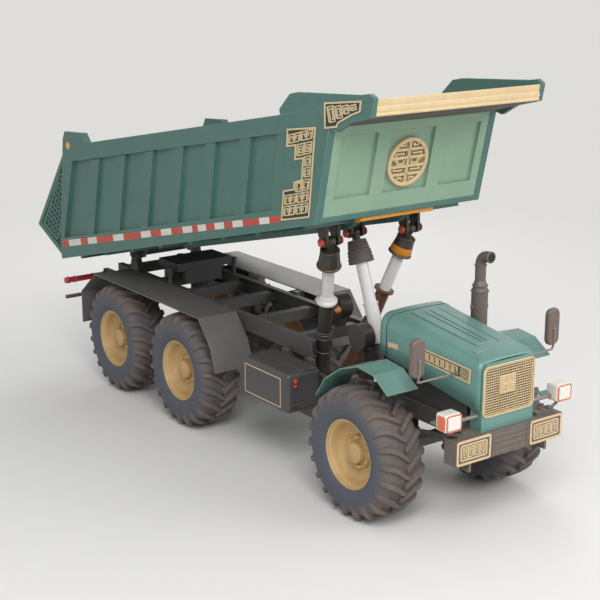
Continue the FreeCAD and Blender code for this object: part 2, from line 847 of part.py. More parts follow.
def make_tanks():
    """Two short drums beside the centre ram and one behind the hoist, each on a stand."""
    radius = size["drumRadius"]
    height = 1774
    items = []
    x = ahead(-905)
    for side in (1, -1):
        low, high = span(side, size["drumInner"], size["drumOuter"])
        items.append(rod("Drum", "y", (x, low, height), high - low, radius))
        stand = span(side, size["frontRailOuter"] - size["frontRailWidth"] + 10, size["frontRailOuter"])
        items.append(box("DrumStand", (x - 50, x + 50), stand, (size["frontRailTop"], height - radius + 10)))
    x = ahead(-CROSS_MEMBERS[-1])
    items.append(rod("RearDrum", "y", (x, 120, 1836), 180, radius))
    items.append(box("RearStand", (x - 50, x + 50), (150, 270), (size["railTop"] - 40, 1836 - radius + 10)))
    keep("air_tanks", fuse("AirTanks", items))


def make_tool_boxes():
    items = []
    for side in (1, -1):
        low, high = span(side, 640, 1150)
        front = ahead(-1234)
        rear = ahead(-2210)
        items.append(box("Box", (rear, front), (low, high), (860, 1362)))
        seat = size["lowRailOuter"] + size["seatGap"]
        for x in (rear + 160, front - 300):
            items.append(box("Hanger", (x, x + 120), span(side, seat, 640), (1200, 1422)))
        hanger = (rear + 160, rear + 280)
        seat = size["railOuter"] + size["seatGap"]
        items.append(box("RearHanger", hanger, span(side, seat, 640), (1400, 1440)))
        items.append(box("RearDrop", hanger, span(side, 620, 640), (1200, 1440)))
    keep("tool_boxes", fuse("ToolBoxes", items))


def make_rear_fenders():
    """One bent sheet over both rear wheels on each side, level on top and folded down at both ends."""
    items = []
    thick = 14
    front = ahead(-3085)
    for side in (1, -1):
        low, high = span(side, 655, 1240)
        loop = [
            (ahead(-2700), 1007),
            (ahead(-2688), 1007),
            (ahead(-2816) + thick, 1327),
            (front + 4, 1653),
            (ahead(-5924), 1653),
            (ahead(-6363) - thick, 1300),
            (ahead(-6363) - thick, 823),
            (ahead(-6363), 823),
            (ahead(-6363), 1294),
            (ahead(-5930), 1653 - thick),
            (front - 4, 1653 - thick),
            (ahead(-2816), 1327 - 4),
        ]
        items.append(side_plate("Fender", [loop], low, high))
        for offset in (3500, 5600):
            x = ahead(-offset)
            items.append(box("Stay", (x, x + 80), span(side, size["railOuter"], 700), (1560, 1653 - thick)))
    keep("rear_fenders", fuse("RearFenders", items))


def make_rear_gear():
    """The saddle on the frame behind, the pin that the bed turns on, and the light bars."""
    top = size["railTop"]
    outer = size["railOuter"]
    items = [box("Saddle", (ahead(-5417), ahead(-4882)), (-455, 455), (1775, 1890))]
    for offset in (5380, 5000):
        x = ahead(-offset)
        items.append(box("Leg", (x, x + 90), (-300, 300), (top - 40, 1775)))
    for side in (1, -1):
        low, high = span(side, outer - size["railWidth"], outer)
        cheek = [(-130, top), (130, top), (42, size["pivotHeight"] + 52), (-42, size["pivotHeight"] + 52)]
        items.append(side_plate("Cheek", [cheek], low, high, pivot_x, 0))
        items.append(rod("Post", "z", (ahead(-4965), 538 * side, top), 140, 30))
        items.append(rod("Knob", "z", (ahead(-4965), 538 * side, top + 140), 90, 50))
    items.append(rod("PivotPin", "y", (pivot_x, -outer - 40, size["pivotHeight"]), (outer + 40) * 2,
                     size["pivotRadius"]))
    keep("bed_saddle", fuse("BedSaddle", items))
    lights = []
    rear = ahead(-6900)
    for side in (1, -1):
        lights.append(rod("LightBar", "y", (rear, 575 if side > 0 else -1240, 1350), 665, 44))
        lights.append(box("LowerBar", (rear - 20, rear + 20), span(side, 575, 1240), (1070, 1120)))
        lights.append(box("Arm", (rear - 20, ahead(-size["railRear"])), span(side, 500, 560), (1395, 1440)))
        lights.append(box("Drop", (rear - 20, rear + 20), span(side, 500, 580), (1070, 1440)))
    keep("tail_lights", fuse("TailLights", lights))


def make_drive_shaft():
    y = size["shaftY"]
    radius = size["shaftRadius"]
    case_rear = ahead(-1000)
    front_low = size["frontRailTop"] - size["frontRailDepth"]
    flange = 190
    front = front_rear_axle + flange
    items = [
        rod("Front", "x", (front, y, axle_height), case_rear + 20 - front, radius),
        rod("Middle", "x", (last_axle + flange, y, axle_height), size["tandemSpacing"] - flange * 2, radius),
        box("TransferCase", (case_rear, case_rear + 120), (180, y + radius), (axle_height - 60, front_low)),
    ]
    keep("drive_shaft", fuse("DriveShaft", items))


def make_cradle():
    """Cheeks on both sides of the rams' feet, hung from the rails."""
    low = Length(560)
    plate = size["cheekPlate"]
    gap = size["seatGap"]
    rail_low = size["railTop"] - size["railDepth"]
    front_low = size["frontRailTop"] - size["frontRailDepth"]
    outer = size["outerCheek"]
    inner = size["innerCheek"]
    items = []
    rear = ahead(-2057)
    front = rear + 460
    for side in (1, -1):
        cheek = span(side, outer, outer + plate)
        items.append(box("OuterCheek", (rear, front), cheek, (low, rail_low - gap)))
        items.append(box("InnerCheek", (rear, front), span(side, inner, inner + plate), (low, 1010)))
        brow = span(side, outer, size["railOuter"])
        items.append(box("Brow", (rear, ahead(-size["lowRailRear"]) - gap), brow,
                         (rail_low - plate, rail_low - gap)))
    between = (-(outer + plate), outer + plate)
    items.append(box("FrontSill", (front, front + 30), between, (low, 700)))
    items.append(box("RearSill", (rear - 30, rear), between, (low, 700)))
    inner = size["centreCheek"]
    outer = inner + plate
    low = Length(540)
    rear = ahead(-820)
    front = rear + 460
    for side in (1, -1):
        items.append(box("CentreCheek", (rear, front), span(side, inner, outer), (low, front_low)))
        items.append(box("CentreBrow", (rear, rear + 170), span(side, inner, size["frontRailOuter"]),
                         (front_low - plate, front_low - gap)))
    items.append(box("CentreSill", (front, front + 30), (-outer, outer), (low, 700)))
    keep("hoist_cradle", fuse("HoistCradle", items))


def make_steering(side_name, side):
    """A forked knuckle on its kingpin, with the spindle, and the fender that it carries."""
    king = size["kingpinY"] * side
    x = ahead(0)
    gap = 5
    eye_top = axle_height + 70
    eye_low = axle_height - 70
    items = [
        rod("Pin", "z", (x, king, eye_low - 60), 260, size["kingpinRadius"]),
        rod("UpperEar", "z", (x, king, eye_top + gap), 50, 72),
        rod("LowerEar", "z", (x, king, eye_low - gap - 50), 50, 72),
    ]
    web = span(side, size["kingpinY"] + 82, size["kingpinY"] + 122)
    items.append(box("Web", (x - 72, x + 72), web, (eye_low - gap - 50, eye_top + gap + 50)))
    for z in (eye_low - gap - 50, eye_top + gap):
        arm = span(side, size["kingpinY"], size["kingpinY"] + 90)
        items.append(box("Arm", (x - 60, x + 60), arm, (z, z + 50)))
    start = size["kingpinY"] + 120
    length = size["wheelY"] + 90 - start
    base = start if side > 0 else -(start + length)
    items.append(rod("Spindle", "y", (x, base, axle_height), length, size["spindleRadius"]))
    post = span(side, size["kingpinY"] + 62, size["kingpinY"] + 78)
    items.append(box("FenderPost", (x + 40, x + 130), post, (eye_top + gap, 1598)))
    keep("knuckle_" + side_name, fuse("Knuckle", items))
    low, high = span(side, 800, 1230)
    thick = 14
    outline = [
        (-580, 1325),
        (-410, 1572),
        (-130, 1768),
        (185, 1880),
        (460, 1850),
        (714, 1688),
        (714 - 8, 1688 - thick),
        (460, 1850 - thick),
        (185, 1880 - thick),
        (-130 + 6, 1768 - thick),
        (-410 + 8, 1572 - thick),
        (-580 + 14, 1325),
    ]
    shell = side_plate("FenderSheet", [outline[::-1]], low, high, x, 0)
    brace = box("FenderBrace", (x + 60, x + 130), span(side, size["kingpinY"] + 78.3, 830), (1562, 1598))
    rise = box("FenderRise", (x + 60, x + 130), span(side, 805, 830), (1562, 1840))
    keep("front_fender_" + side_name, fuse("FrontFender", [shell, brace, rise]))


def on_bed(label, item):
    """Set a piece made in the bed's own frame on the tilted bed."""
    turn = FreeCAD.Rotation(FreeCAD.Vector(0, -1, 0), size["bedTilt"].value)
    item.Placement = FreeCAD.Placement(FreeCAD.Vector(), turn)
    bind(item, "Placement.Rotation.Angle", size["bedTilt"])
    place(item, tail_x, 0, tail_z)
    return keep(label, item)


def along(low, high, share):
    """The size that lies a share of the way from one size to another."""
    return as_length(low) + (as_length(high) - low) * share


# Points of the bed's side view, from the tail's low corner, along and square to the floor.
RAIL_REAR_TOP = (1373, 1582)
RAIL_FRONT_TOP = (6416, 1264)
RAIL_REAR_LOW = (854, 1383)
RAIL_FRONT_LOW = (6364, 1067)


def make_side(side_name, side):
    face = size["sideFace"]
    outer = size["bedHalfWidth"]
    front = size["bedFront"]
    head_top = (front + size["headLean"], size["headTop"])
    lean = size["headLean"] / size["headTop"]
    ledge_rear = size["ledgeRear"]
    ledge_front = size["ledgeFront"]
    inner, skin = span(side, face - size["sideWall"], face)
    wall = [
        (0, 0),
        (front, 0),
        head_top,
        (6994, 1264),
        RAIL_FRONT_TOP,
        RAIL_REAR_TOP,
        (1286, 1734),
        (886, 1734),
        (-size["tailReach"], size["tailHeight"]),
    ]
    items = [side_plate("Wall", [wall], inner, skin)]
    low, high = span(side, face, outer)
    bottom = [(0, 0), (front, 0), (front + lean * ledge_front, ledge_front), (60, ledge_rear)]
    items.append(side_plate("BottomRail", [bottom], low, high))
    top = [RAIL_REAR_LOW, RAIL_FRONT_LOW, RAIL_FRONT_TOP, RAIL_REAR_TOP]
    items.append(side_plate("TopRail", [top], low, high))
    corner = [
        (6020, ledge_front + 6),
        (front + lean * ledge_front, ledge_front),
        head_top,
        (6994, 1264),
        RAIL_FRONT_TOP,
        RAIL_FRONT_LOW,
    ]
    items.append(side_plate("CornerPost", [corner], low, high))
    post = [
        (60, ledge_rear),
        (185, ledge_rear - 2),
        RAIL_REAR_LOW,
        RAIL_REAR_TOP,
        (1300, 1734),
        (758, 1830),
        (666, 1734),
    ]
    items.append(side_plate("RearPost", [post], low, high))
    rib_low, rib_high = span(side, face, outer - 18)
    half = size["ribWidth"] / 2
    for index in range(RIB_COUNT):
        share = index / (RIB_COUNT - 1)
        foot = size["ribFirst"] + size["ribPitch"] * index
        base = along(ledge_rear, ledge_front, share) - 14
        top = along(1320, 1090, share)
        shift = (top - base) * (0.52 - 0.11 * share)
        head = foot + shift
        rib = [(foot - half, base), (foot + half, base), (head + half, top), (head - half, top)]
        items.append(side_plate("Rib", [rib], rib_low, rib_high))
    on_bed("bed_side_" + side_name, fuse("BedSide", items))


def make_floor():
    inside = size["sideFace"] - size["sideWall"]
    plate = size["floorPlate"]
    front = size["bedFront"]
    floor = [
        (0, 0),
        (front, 0),
        (front + 30, plate),
        (20, plate),
        (-size["tailReach"] + 20, size["tailHeight"] + plate),
        (-size["tailReach"], size["tailHeight"]),
    ]
    items = [side_plate("Floor", [floor], -inside, inside)]
    ear_out = size["railOuter"] - size["railWidth"] - size["runningGap"]
    pivot = (size["pivotAlong"], -size["pivotBelow"])
    for side in (1, -1):
        sill = [(2300, -100), (6100, -120), (6400, 0), (2200, 0)]
        items.append(side_plate("Sill", [sill], *span(side, 330, 430)))
        ear = [(pivot[0] - 80, pivot[1] - 75), (pivot[0] + 80, pivot[1] - 75),
               (pivot[0] + 260, 0), (pivot[0] - 260, 0)]
        items.append(side_plate("PivotEar", [ear], *span(side, ear_out - 54, ear_out),
                                circles=[(pivot[0], pivot[1], size["pivotRadius"] + 0.05)]))
    for offset in CROSS_SILLS:
        items.append(box("CrossSill", (offset, offset + 90), (-inside, inside), (-40, 0)))
    on_bed("bed_floor", fuse("BedFloor", items))
    make_headboard(inside)


def leaning(name, low, high, y, depth_from, depth_to):
    """A strip of the headboard, between two heights square to the floor and two depths behind its face."""
    lean = size["headLean"] / size["headTop"]
    face = size["bedFront"]
    low, high = as_length(low), as_length(high)
    strip = [
        (face + lean * low - depth_to, low),
        (face + lean * low - depth_from, low),
        (face + lean * high - depth_from, high),
        (face + lean * high - depth_to, high),
    ]
    return side_plate(name, [strip], y[0], y[1])


def make_headboard(inside):
    """A leaning plate behind a frame that leaves three sunken panels."""
    plate = size["floorPlate"]
    top = size["headTop"]
    sill, lintel = 245, 905
    items = [
        leaning("HeadPlate", plate, top, (-inside, inside), 45, 85),
        leaning("HeadSill", plate, sill, (-inside, inside), 0, 45),
        leaning("HeadLintel", lintel, top, (-inside, inside), 0, 45),
    ]
    for side in (1, -1):
        items.append(leaning("HeadPost", sill, lintel, span(side, 325, 515), 0, 45))
        items.append(leaning("HeadEdge", sill, lintel, span(side, 1025, inside), 0, 45))
    on_bed("bed_headboard", fuse("BedHeadboard", items))


def make_canopy():
    """The guard over the front: two shaped wings and a board between them."""
    face = size["sideFace"]
    reach = size["canopyReach"]
    wing = [
        (6416, 1266),
        (6994, 1266),
        (7122, 1011),
        (7251, 943),
        (7503, 1010),
        (reach - 220, 1007),
        (reach - 91, 1007),
        (reach, 1190),
        (reach - 65, 1250),
        (reach - 192, 1260),
        (6672, 1464),
        (6496, 1472),
        (6252, 1339),
        (6252, 1276),
    ]
    items = [side_plate("Wing", [wing], *span(side, face, size["bedHalfWidth"])) for side in (1, -1)]
    roof = [
        (7121, 1011),
        (reach - 130, 1024),
        (reach - 91, 1014),
        (reach - 40, 1174),
        (reach - 90, 1174),
        (reach - 130, 1064),
        (7095, 1064),
    ]
    items.append(side_plate("Roof", [roof], -face, face))
    on_bed("bed_canopy", fuse("BedCanopy", items))


# Each ram: its eye on the bed and its foot in the frame (from the front axle, the centre line and the
# ground), its length when shut, where its middle tube then begins, and how far the lugs stand off the eye,
# which reaches less far sideways where the ram leans.
SIDE_RAM = {"shut": 1571, "middle": 433, "seat": -0.5}
RAMS = {
    "centre": {"eye": (-1426, 0, 2923), "foot": (-520, 0, 600), "shut": 1546, "middle": 400, "seat": 0.3},
    "left": {"eye": (-1110, 612, 2950), "foot": (-1897.5, 162, 700), **SIDE_RAM},
    "right": {"eye": (-1110, -612, 2950), "foot": (-1897.5, -162, 700), **SIDE_RAM},
}


def make_ears():
    """Lugs under the bed that the rams' eyes turn between."""
    items = []
    for ram in RAMS.values():
        x, y, z = ram["eye"]
        x = size["pivotBehind"] + tail_behind_pivot + x
        z = as_length(z) - tail_z
        u = x * tilt_cosine + z * tilt_sine
        v = z * tilt_cosine - x * tilt_sine
        for sign in (1, -1):
            near = span(sign, size["eyeRadius"] + ram["seat"], size["eyeRadius"] + 36)
            low, high = near[0] + y, near[1] + y
            ear = [(u - 62, v), (u + 62, v), (u + 110, 0), (u - 110, 0)]
            items.append(side_plate("Ear", [ear], low, high))
            items.append(rod("EarEnd", "y", (u, low, v), high - low, 62))
            cap_from = high if sign > 0 else low - 30
            items.append(rod("PinEnd", "y", (u, cap_from, v), 30, 34))
    on_bed("hoist_ears", fuse("HoistEars", items))


def along_ram(item, start, end):
    """Stand an item made along Z on the line from one point to another."""
    line = FreeCAD.Vector(*end) - FreeCAD.Vector(*start)
    turn = FreeCAD.Rotation(FreeCAD.Vector(0, 0, 1), line)
    item.Placement = FreeCAD.Placement(FreeCAD.Vector(front_axle.value + start[0], start[1], start[2]), turn)
    return item


def ram_eye():
    """Half the section of a rounded eye, which may lean between its two lugs."""
    radius = size["eyeRadius"]
    half = [(radius, 0), (radius, 4), (radius * 0.89, radius * 0.45), (radius * 0.63, radius * 0.77),
            (radius * 0.26, radius * 0.965)]
    return half + [(-y, r) for y, r in half[::-1]]


def make_ram(name, ram):
    """An eye and cup with the inner tube, the middle tube, and the barrel with its foot."""
    eye, foot = ram["eye"], ram["foot"]
    length = (FreeCAD.Vector(*foot) - FreeCAD.Vector(*eye)).Length
    drawn = length - ram["shut"]
    gap = size["stageGap"]
    cup_top = 120
    cup_low = 355
    ring = 26
    ring_gap = 6
    skirt = rod("CupSkirt", "z", (0, 0, cup_top), cup_low - cup_top, size["cupRadius"])
    bore = rod("CupBore", "z", (0, 0, cup_top + 20), cup_low, size["barrelRadius"] + 15)
    skirt = cut("CupShell", skirt, bore)
    head = [
        turned("Eye", ram_eye()),
        rod("Neck", "z", (0, 0, 20), 110, 50),
        skirt,
        rod("InnerTube", "z", (0, 0, 130), ram["shut"] - 260, size["innerRadius"]),
    ]
    keep("ram_%s_head" % name, along_ram(fuse("Head", head), eye, foot))
    start = ram["middle"] + drawn / 2
    tube = [
        rod("MiddleTube", "z", (0, 0, start), ram["shut"] - 120 - ram["middle"], size["middleRadius"]),
        rod("Ring", "z", (0, 0, start), ring, size["ringRadius"]),
    ]
    bore = rod("MiddleBore", "z", (0, 0, start - 5), ram["shut"], size["innerRadius"] + gap)
    keep("ram_%s_middle" % name, along_ram(cut("Middle", fuse("MiddleSolid", tube), bore), eye, foot))
    start = ram["middle"] + ring + ring_gap + drawn
    barrel = rod("BarrelTube", "z", (0, 0, start), length - 60 - start, size["barrelRadius"])
    bore = rod("BarrelBore", "z", (0, 0, start - 5), length - 90 - start, size["middleRadius"] + gap)
    items = [cut("BarrelShell", barrel, bore), rod("Foot", "y", (0, -60, length), 120, 78)]
    keep("ram_%s_barrel" % name, along_ram(fuse("Barrel", items), eye, foot))


make_wheels()
make_frame()
make_front_axle()
make_rear_axles()
make_springs()
make_engine_bay()
make_bonnet()
make_nose()
make_bumper()
make_lamps_and_mirrors()
make_exhaust()
make_tanks()
make_tool_boxes()
make_rear_fenders()
make_rear_gear()
make_drive_shaft()
make_cradle()
for side_name, side in SIDES.items():
    make_steering(side_name, side)
for side_name, side in SIDES.items():
    make_side(side_name, side)
make_floor()
make_canopy()
make_ears()
for ram_name, ram in RAMS.items():
    make_ram(ram_name, ram)
doc.recompute()

for item in doc.Objects:
    if "Invalid" in item.State or "Error" in item.State:
        raise RuntimeError("%s (%s) failed: %s" % (item.Name, item.Label, item.State))
for label, item in nodes.items():
    if item.Shape.isNull() or not item.Shape.isValid():
        raise RuntimeError("%s has no sound shape" % label)

os.makedirs("parts", exist_ok=True)
for label, item in nodes.items():
    item.Shape.exportStep("parts/%s.step" % label)
print("%d pieces written" % len(nodes))
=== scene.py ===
import bpy
import bmesh
import json
import math
from mathutils import Matrix, Vector


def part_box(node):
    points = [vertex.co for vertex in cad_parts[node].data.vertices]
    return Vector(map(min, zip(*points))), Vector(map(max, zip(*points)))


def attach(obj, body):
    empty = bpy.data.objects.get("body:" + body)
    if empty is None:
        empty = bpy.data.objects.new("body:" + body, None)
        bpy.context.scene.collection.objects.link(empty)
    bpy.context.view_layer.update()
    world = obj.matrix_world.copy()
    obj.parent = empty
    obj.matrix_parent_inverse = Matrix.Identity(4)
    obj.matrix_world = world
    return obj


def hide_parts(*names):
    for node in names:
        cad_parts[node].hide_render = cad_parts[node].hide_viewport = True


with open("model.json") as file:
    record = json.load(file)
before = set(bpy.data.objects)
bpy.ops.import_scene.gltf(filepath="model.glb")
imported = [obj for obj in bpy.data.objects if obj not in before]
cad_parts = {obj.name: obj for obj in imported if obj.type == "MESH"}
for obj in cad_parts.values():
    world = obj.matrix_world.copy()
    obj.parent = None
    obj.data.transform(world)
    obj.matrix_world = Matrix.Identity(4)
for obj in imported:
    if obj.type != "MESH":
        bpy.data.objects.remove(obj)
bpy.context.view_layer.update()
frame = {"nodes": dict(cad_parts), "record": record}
bodies = frame["record"]["behaviour"]["bodies"]
bodyOf = {node: body for body, nodes in bodies.items() for node in nodes}
sides = (("left", 1), ("right", -1))
print("frame loaded:", len(frame["nodes"]), "nodes")


def tone(red, green, blue):
    # a colour as it is picked on screen, turned to scene values
    def linear(value):
        value = value / 255
        return value / 12.92 if value <= 0.04045 else ((value + 0.055) / 1.055) ** 2.4
    return (linear(red), linear(green), linear(blue), 1)


def addNode(tree, kind, inputs=None, **settings):
    node = tree.nodes.new(kind)
    for key, value in settings.items():
        setattr(node, key, value)
    for key, value in (inputs or {}).items():
        if isinstance(value, bpy.types.NodeSocket):
            tree.links.new(value, node.inputs[key])
        else:
            node.inputs[key].default_value = value
    return node


def blendColour(tree, factor, first, second, mode="MIX"):
    ends = {0: factor, 6: first, 7: second}
    return addNode(tree, "ShaderNodeMix", ends, data_type="RGBA", blend_type=mode).outputs[2]


def calculate(tree, operation, first, second, clamp=False):
    node = addNode(tree, "ShaderNodeMath", {0: first, 1: second}, operation=operation, use_clamp=clamp)
    return node.outputs[0]


def stretch(tree, value, low, high, toLow=0.0, toHigh=1.0):
    ends = {"Value": value, "From Min": low, "From Max": high, "To Min": toLow, "To Max": toHigh}
    return addNode(tree, "ShaderNodeMapRange", ends).outputs[0]


def cloud(tree, coords, scale, detail, **settings):
    wants = {"Vector": coords, "Scale": scale, "Detail": detail, **settings}
    return addNode(tree, "ShaderNodeTexNoise", wants).outputs["Fac"]


def speckled(tree, colour, grain, dark, light):
    # the colour is multiplied by a fine grain of light and shade
    speckle = stretch(tree, grain, 0.25, 0.75, dark, light)
    shade = addNode(tree, "ShaderNodeCombineXYZ", {"X": speckle, "Y": speckle, "Z": speckle}).outputs[0]
    return blendColour(tree, 1.0, colour, shade, "MULTIPLY")


def openGroup(name, inputs, outputs):
    tree = bpy.data.node_groups.new(name, "ShaderNodeTree")
    for label, value in inputs.items():
        kind = "NodeSocketColor" if isinstance(value, tuple) else "NodeSocketFloat"
        tree.interface.new_socket(name=label, in_out="INPUT", socket_type=kind).default_value = value
    for label, kind in outputs.items():
        tree.interface.new_socket(name=label, in_out="OUTPUT", socket_type=kind)
    return tree, tree.nodes.new("NodeGroupInput").outputs, tree.nodes.new("NodeGroupOutput").inputs


groupOutputs = {"Color": "NodeSocketColor", "Roughness": "NodeSocketFloat", "Height": "NodeSocketFloat"}


def makeAgedGroup():
    # patches of faded paint, bright edges, and dust that lies low and on what faces up
    tree, wants, gives = openGroup("agedSurface", {
        "Base": (0.5, 0.5, 0.5, 1), "Faded": (0.5, 0.5, 0.5, 1), "Bare": (0.5, 0.5, 0.5, 1),
        "Dust": (0.3, 0.25, 0.2, 1), "Patch Scale": 1.6, "Patch Amount": 0.5, "Edge Width": 0.008,
        "Edge Amount": 0.6, "Dust Top": 1.2, "Dust Amount": 0.3, "Rough": 0.5, "Rough Spread": 0.2,
        "Grain Scale": 90.0}, groupOutputs)
    coords = addNode(tree, "ShaderNodeTexCoord").outputs["Object"]
    patch = cloud(tree, coords, wants["Patch Scale"], 6.0, Roughness=0.62)
    grain = cloud(tree, coords, wants["Grain Scale"], 3.0, Roughness=0.5)
    chips = cloud(tree, coords, 11.0, 5.0, Roughness=0.7)
    faded = calculate(tree, "MULTIPLY", stretch(tree, patch, 0.36, 0.68), wants["Patch Amount"])
    colour = blendColour(tree, faded, wants["Base"], wants["Faded"])
    normal = addNode(tree, "ShaderNodeNewGeometry").outputs["Normal"]
    rounded = addNode(tree, "ShaderNodeBevel", {"Radius": wants["Edge Width"]}, samples=4).outputs["Normal"]
    straight = addNode(tree, "ShaderNodeVectorMath", {0: rounded, 1: normal}, operation="DOT_PRODUCT")
    edge = stretch(tree, straight.outputs["Value"], 0.995, 0.88)
    edge = calculate(tree, "MULTIPLY", edge, stretch(tree, chips, 0.36, 0.62, 0.25, 1.0))
    edge = calculate(tree, "MULTIPLY", edge, wants["Edge Amount"], True)
    colour = blendColour(tree, edge, colour, wants["Bare"])
    height = addNode(tree, "ShaderNodeSeparateXYZ", {"Vector": coords}).outputs["Z"]
    upward = stretch(tree, addNode(tree, "ShaderNodeSeparateXYZ", {"Vector": normal}).outputs["Z"], 0.35, 1.0)
    low = stretch(tree, height, 0.2, wants["Dust Top"], 1.0, 0.0)
    lying = calculate(tree, "ADD", low, calculate(tree, "MULTIPLY", upward, 0.45))
    lying = calculate(tree, "MULTIPLY", lying, stretch(tree, chips, 0.3, 0.7, 0.35, 1.0))
    lying = calculate(tree, "MULTIPLY", lying, wants["Dust Amount"], True)
    colour = blendColour(tree, lying, colour, wants["Dust"])
    tree.links.new(speckled(tree, colour, grain, 0.93, 1.05), gives["Color"])
    spread = calculate(tree, "MULTIPLY", calculate(tree, "SUBTRACT", patch, 0.5), wants["Rough Spread"])
    rough = calculate(tree, "ADD", wants["Rough"], spread)
    rough = calculate(tree, "ADD", rough, calculate(tree, "MULTIPLY", lying, 0.25))
    rough = calculate(tree, "SUBTRACT", rough, calculate(tree, "MULTIPLY", edge, 0.12), True)
    tree.links.new(rough, gives["Roughness"])
    tree.links.new(calculate(tree, "ADD", calculate(tree, "MULTIPLY", grain, 0.35), chips), gives["Height"])
    return tree


def makeRubberGroup():
    # rubber that is dustier where its tread attribute says that it rolls on the ground
    tree, wants, gives = openGroup("dustyRubber", {"Base": (0.1, 0.1, 0.1, 1), "Dust": (0.2, 0.15, 0.1, 1),
                                                   "Dust Amount": 0.7, "Rough": 0.8}, groupOutputs)
    coords = addNode(tree, "ShaderNodeTexCoord").outputs["Object"]
    patch = cloud(tree, coords, 3.4, 6.0, Roughness=0.65)
    grain = cloud(tree, coords, 130.0, 2.0)
    tread = addNode(tree, "ShaderNodeAttribute", attribute_name="tread").outputs["Fac"]
    share = calculate(tree, "MULTIPLY", tread, stretch(tree, patch, 0.32, 0.66, 0.3, 1.0))
    share = calculate(tree, "MULTIPLY", share, wants["Dust Amount"], True)
    colour = blendColour(tree, share, wants["Base"], wants["Dust"])
    tree.links.new(speckled(tree, colour, grain, 0.9, 1.06), gives["Color"])
    rough = calculate(tree, "ADD", wants["Rough"], calculate(tree, "MULTIPLY", share, 0.12), True)
    tree.links.new(rough, gives["Roughness"])
    tree.links.new(calculate(tree, "ADD", calculate(tree, "MULTIPLY", grain, 0.5), patch), gives["Height"])
    return tree


agedGroup = makeAgedGroup()
rubberGroup = makeRubberGroup()
dustTone = (128, 116, 100)

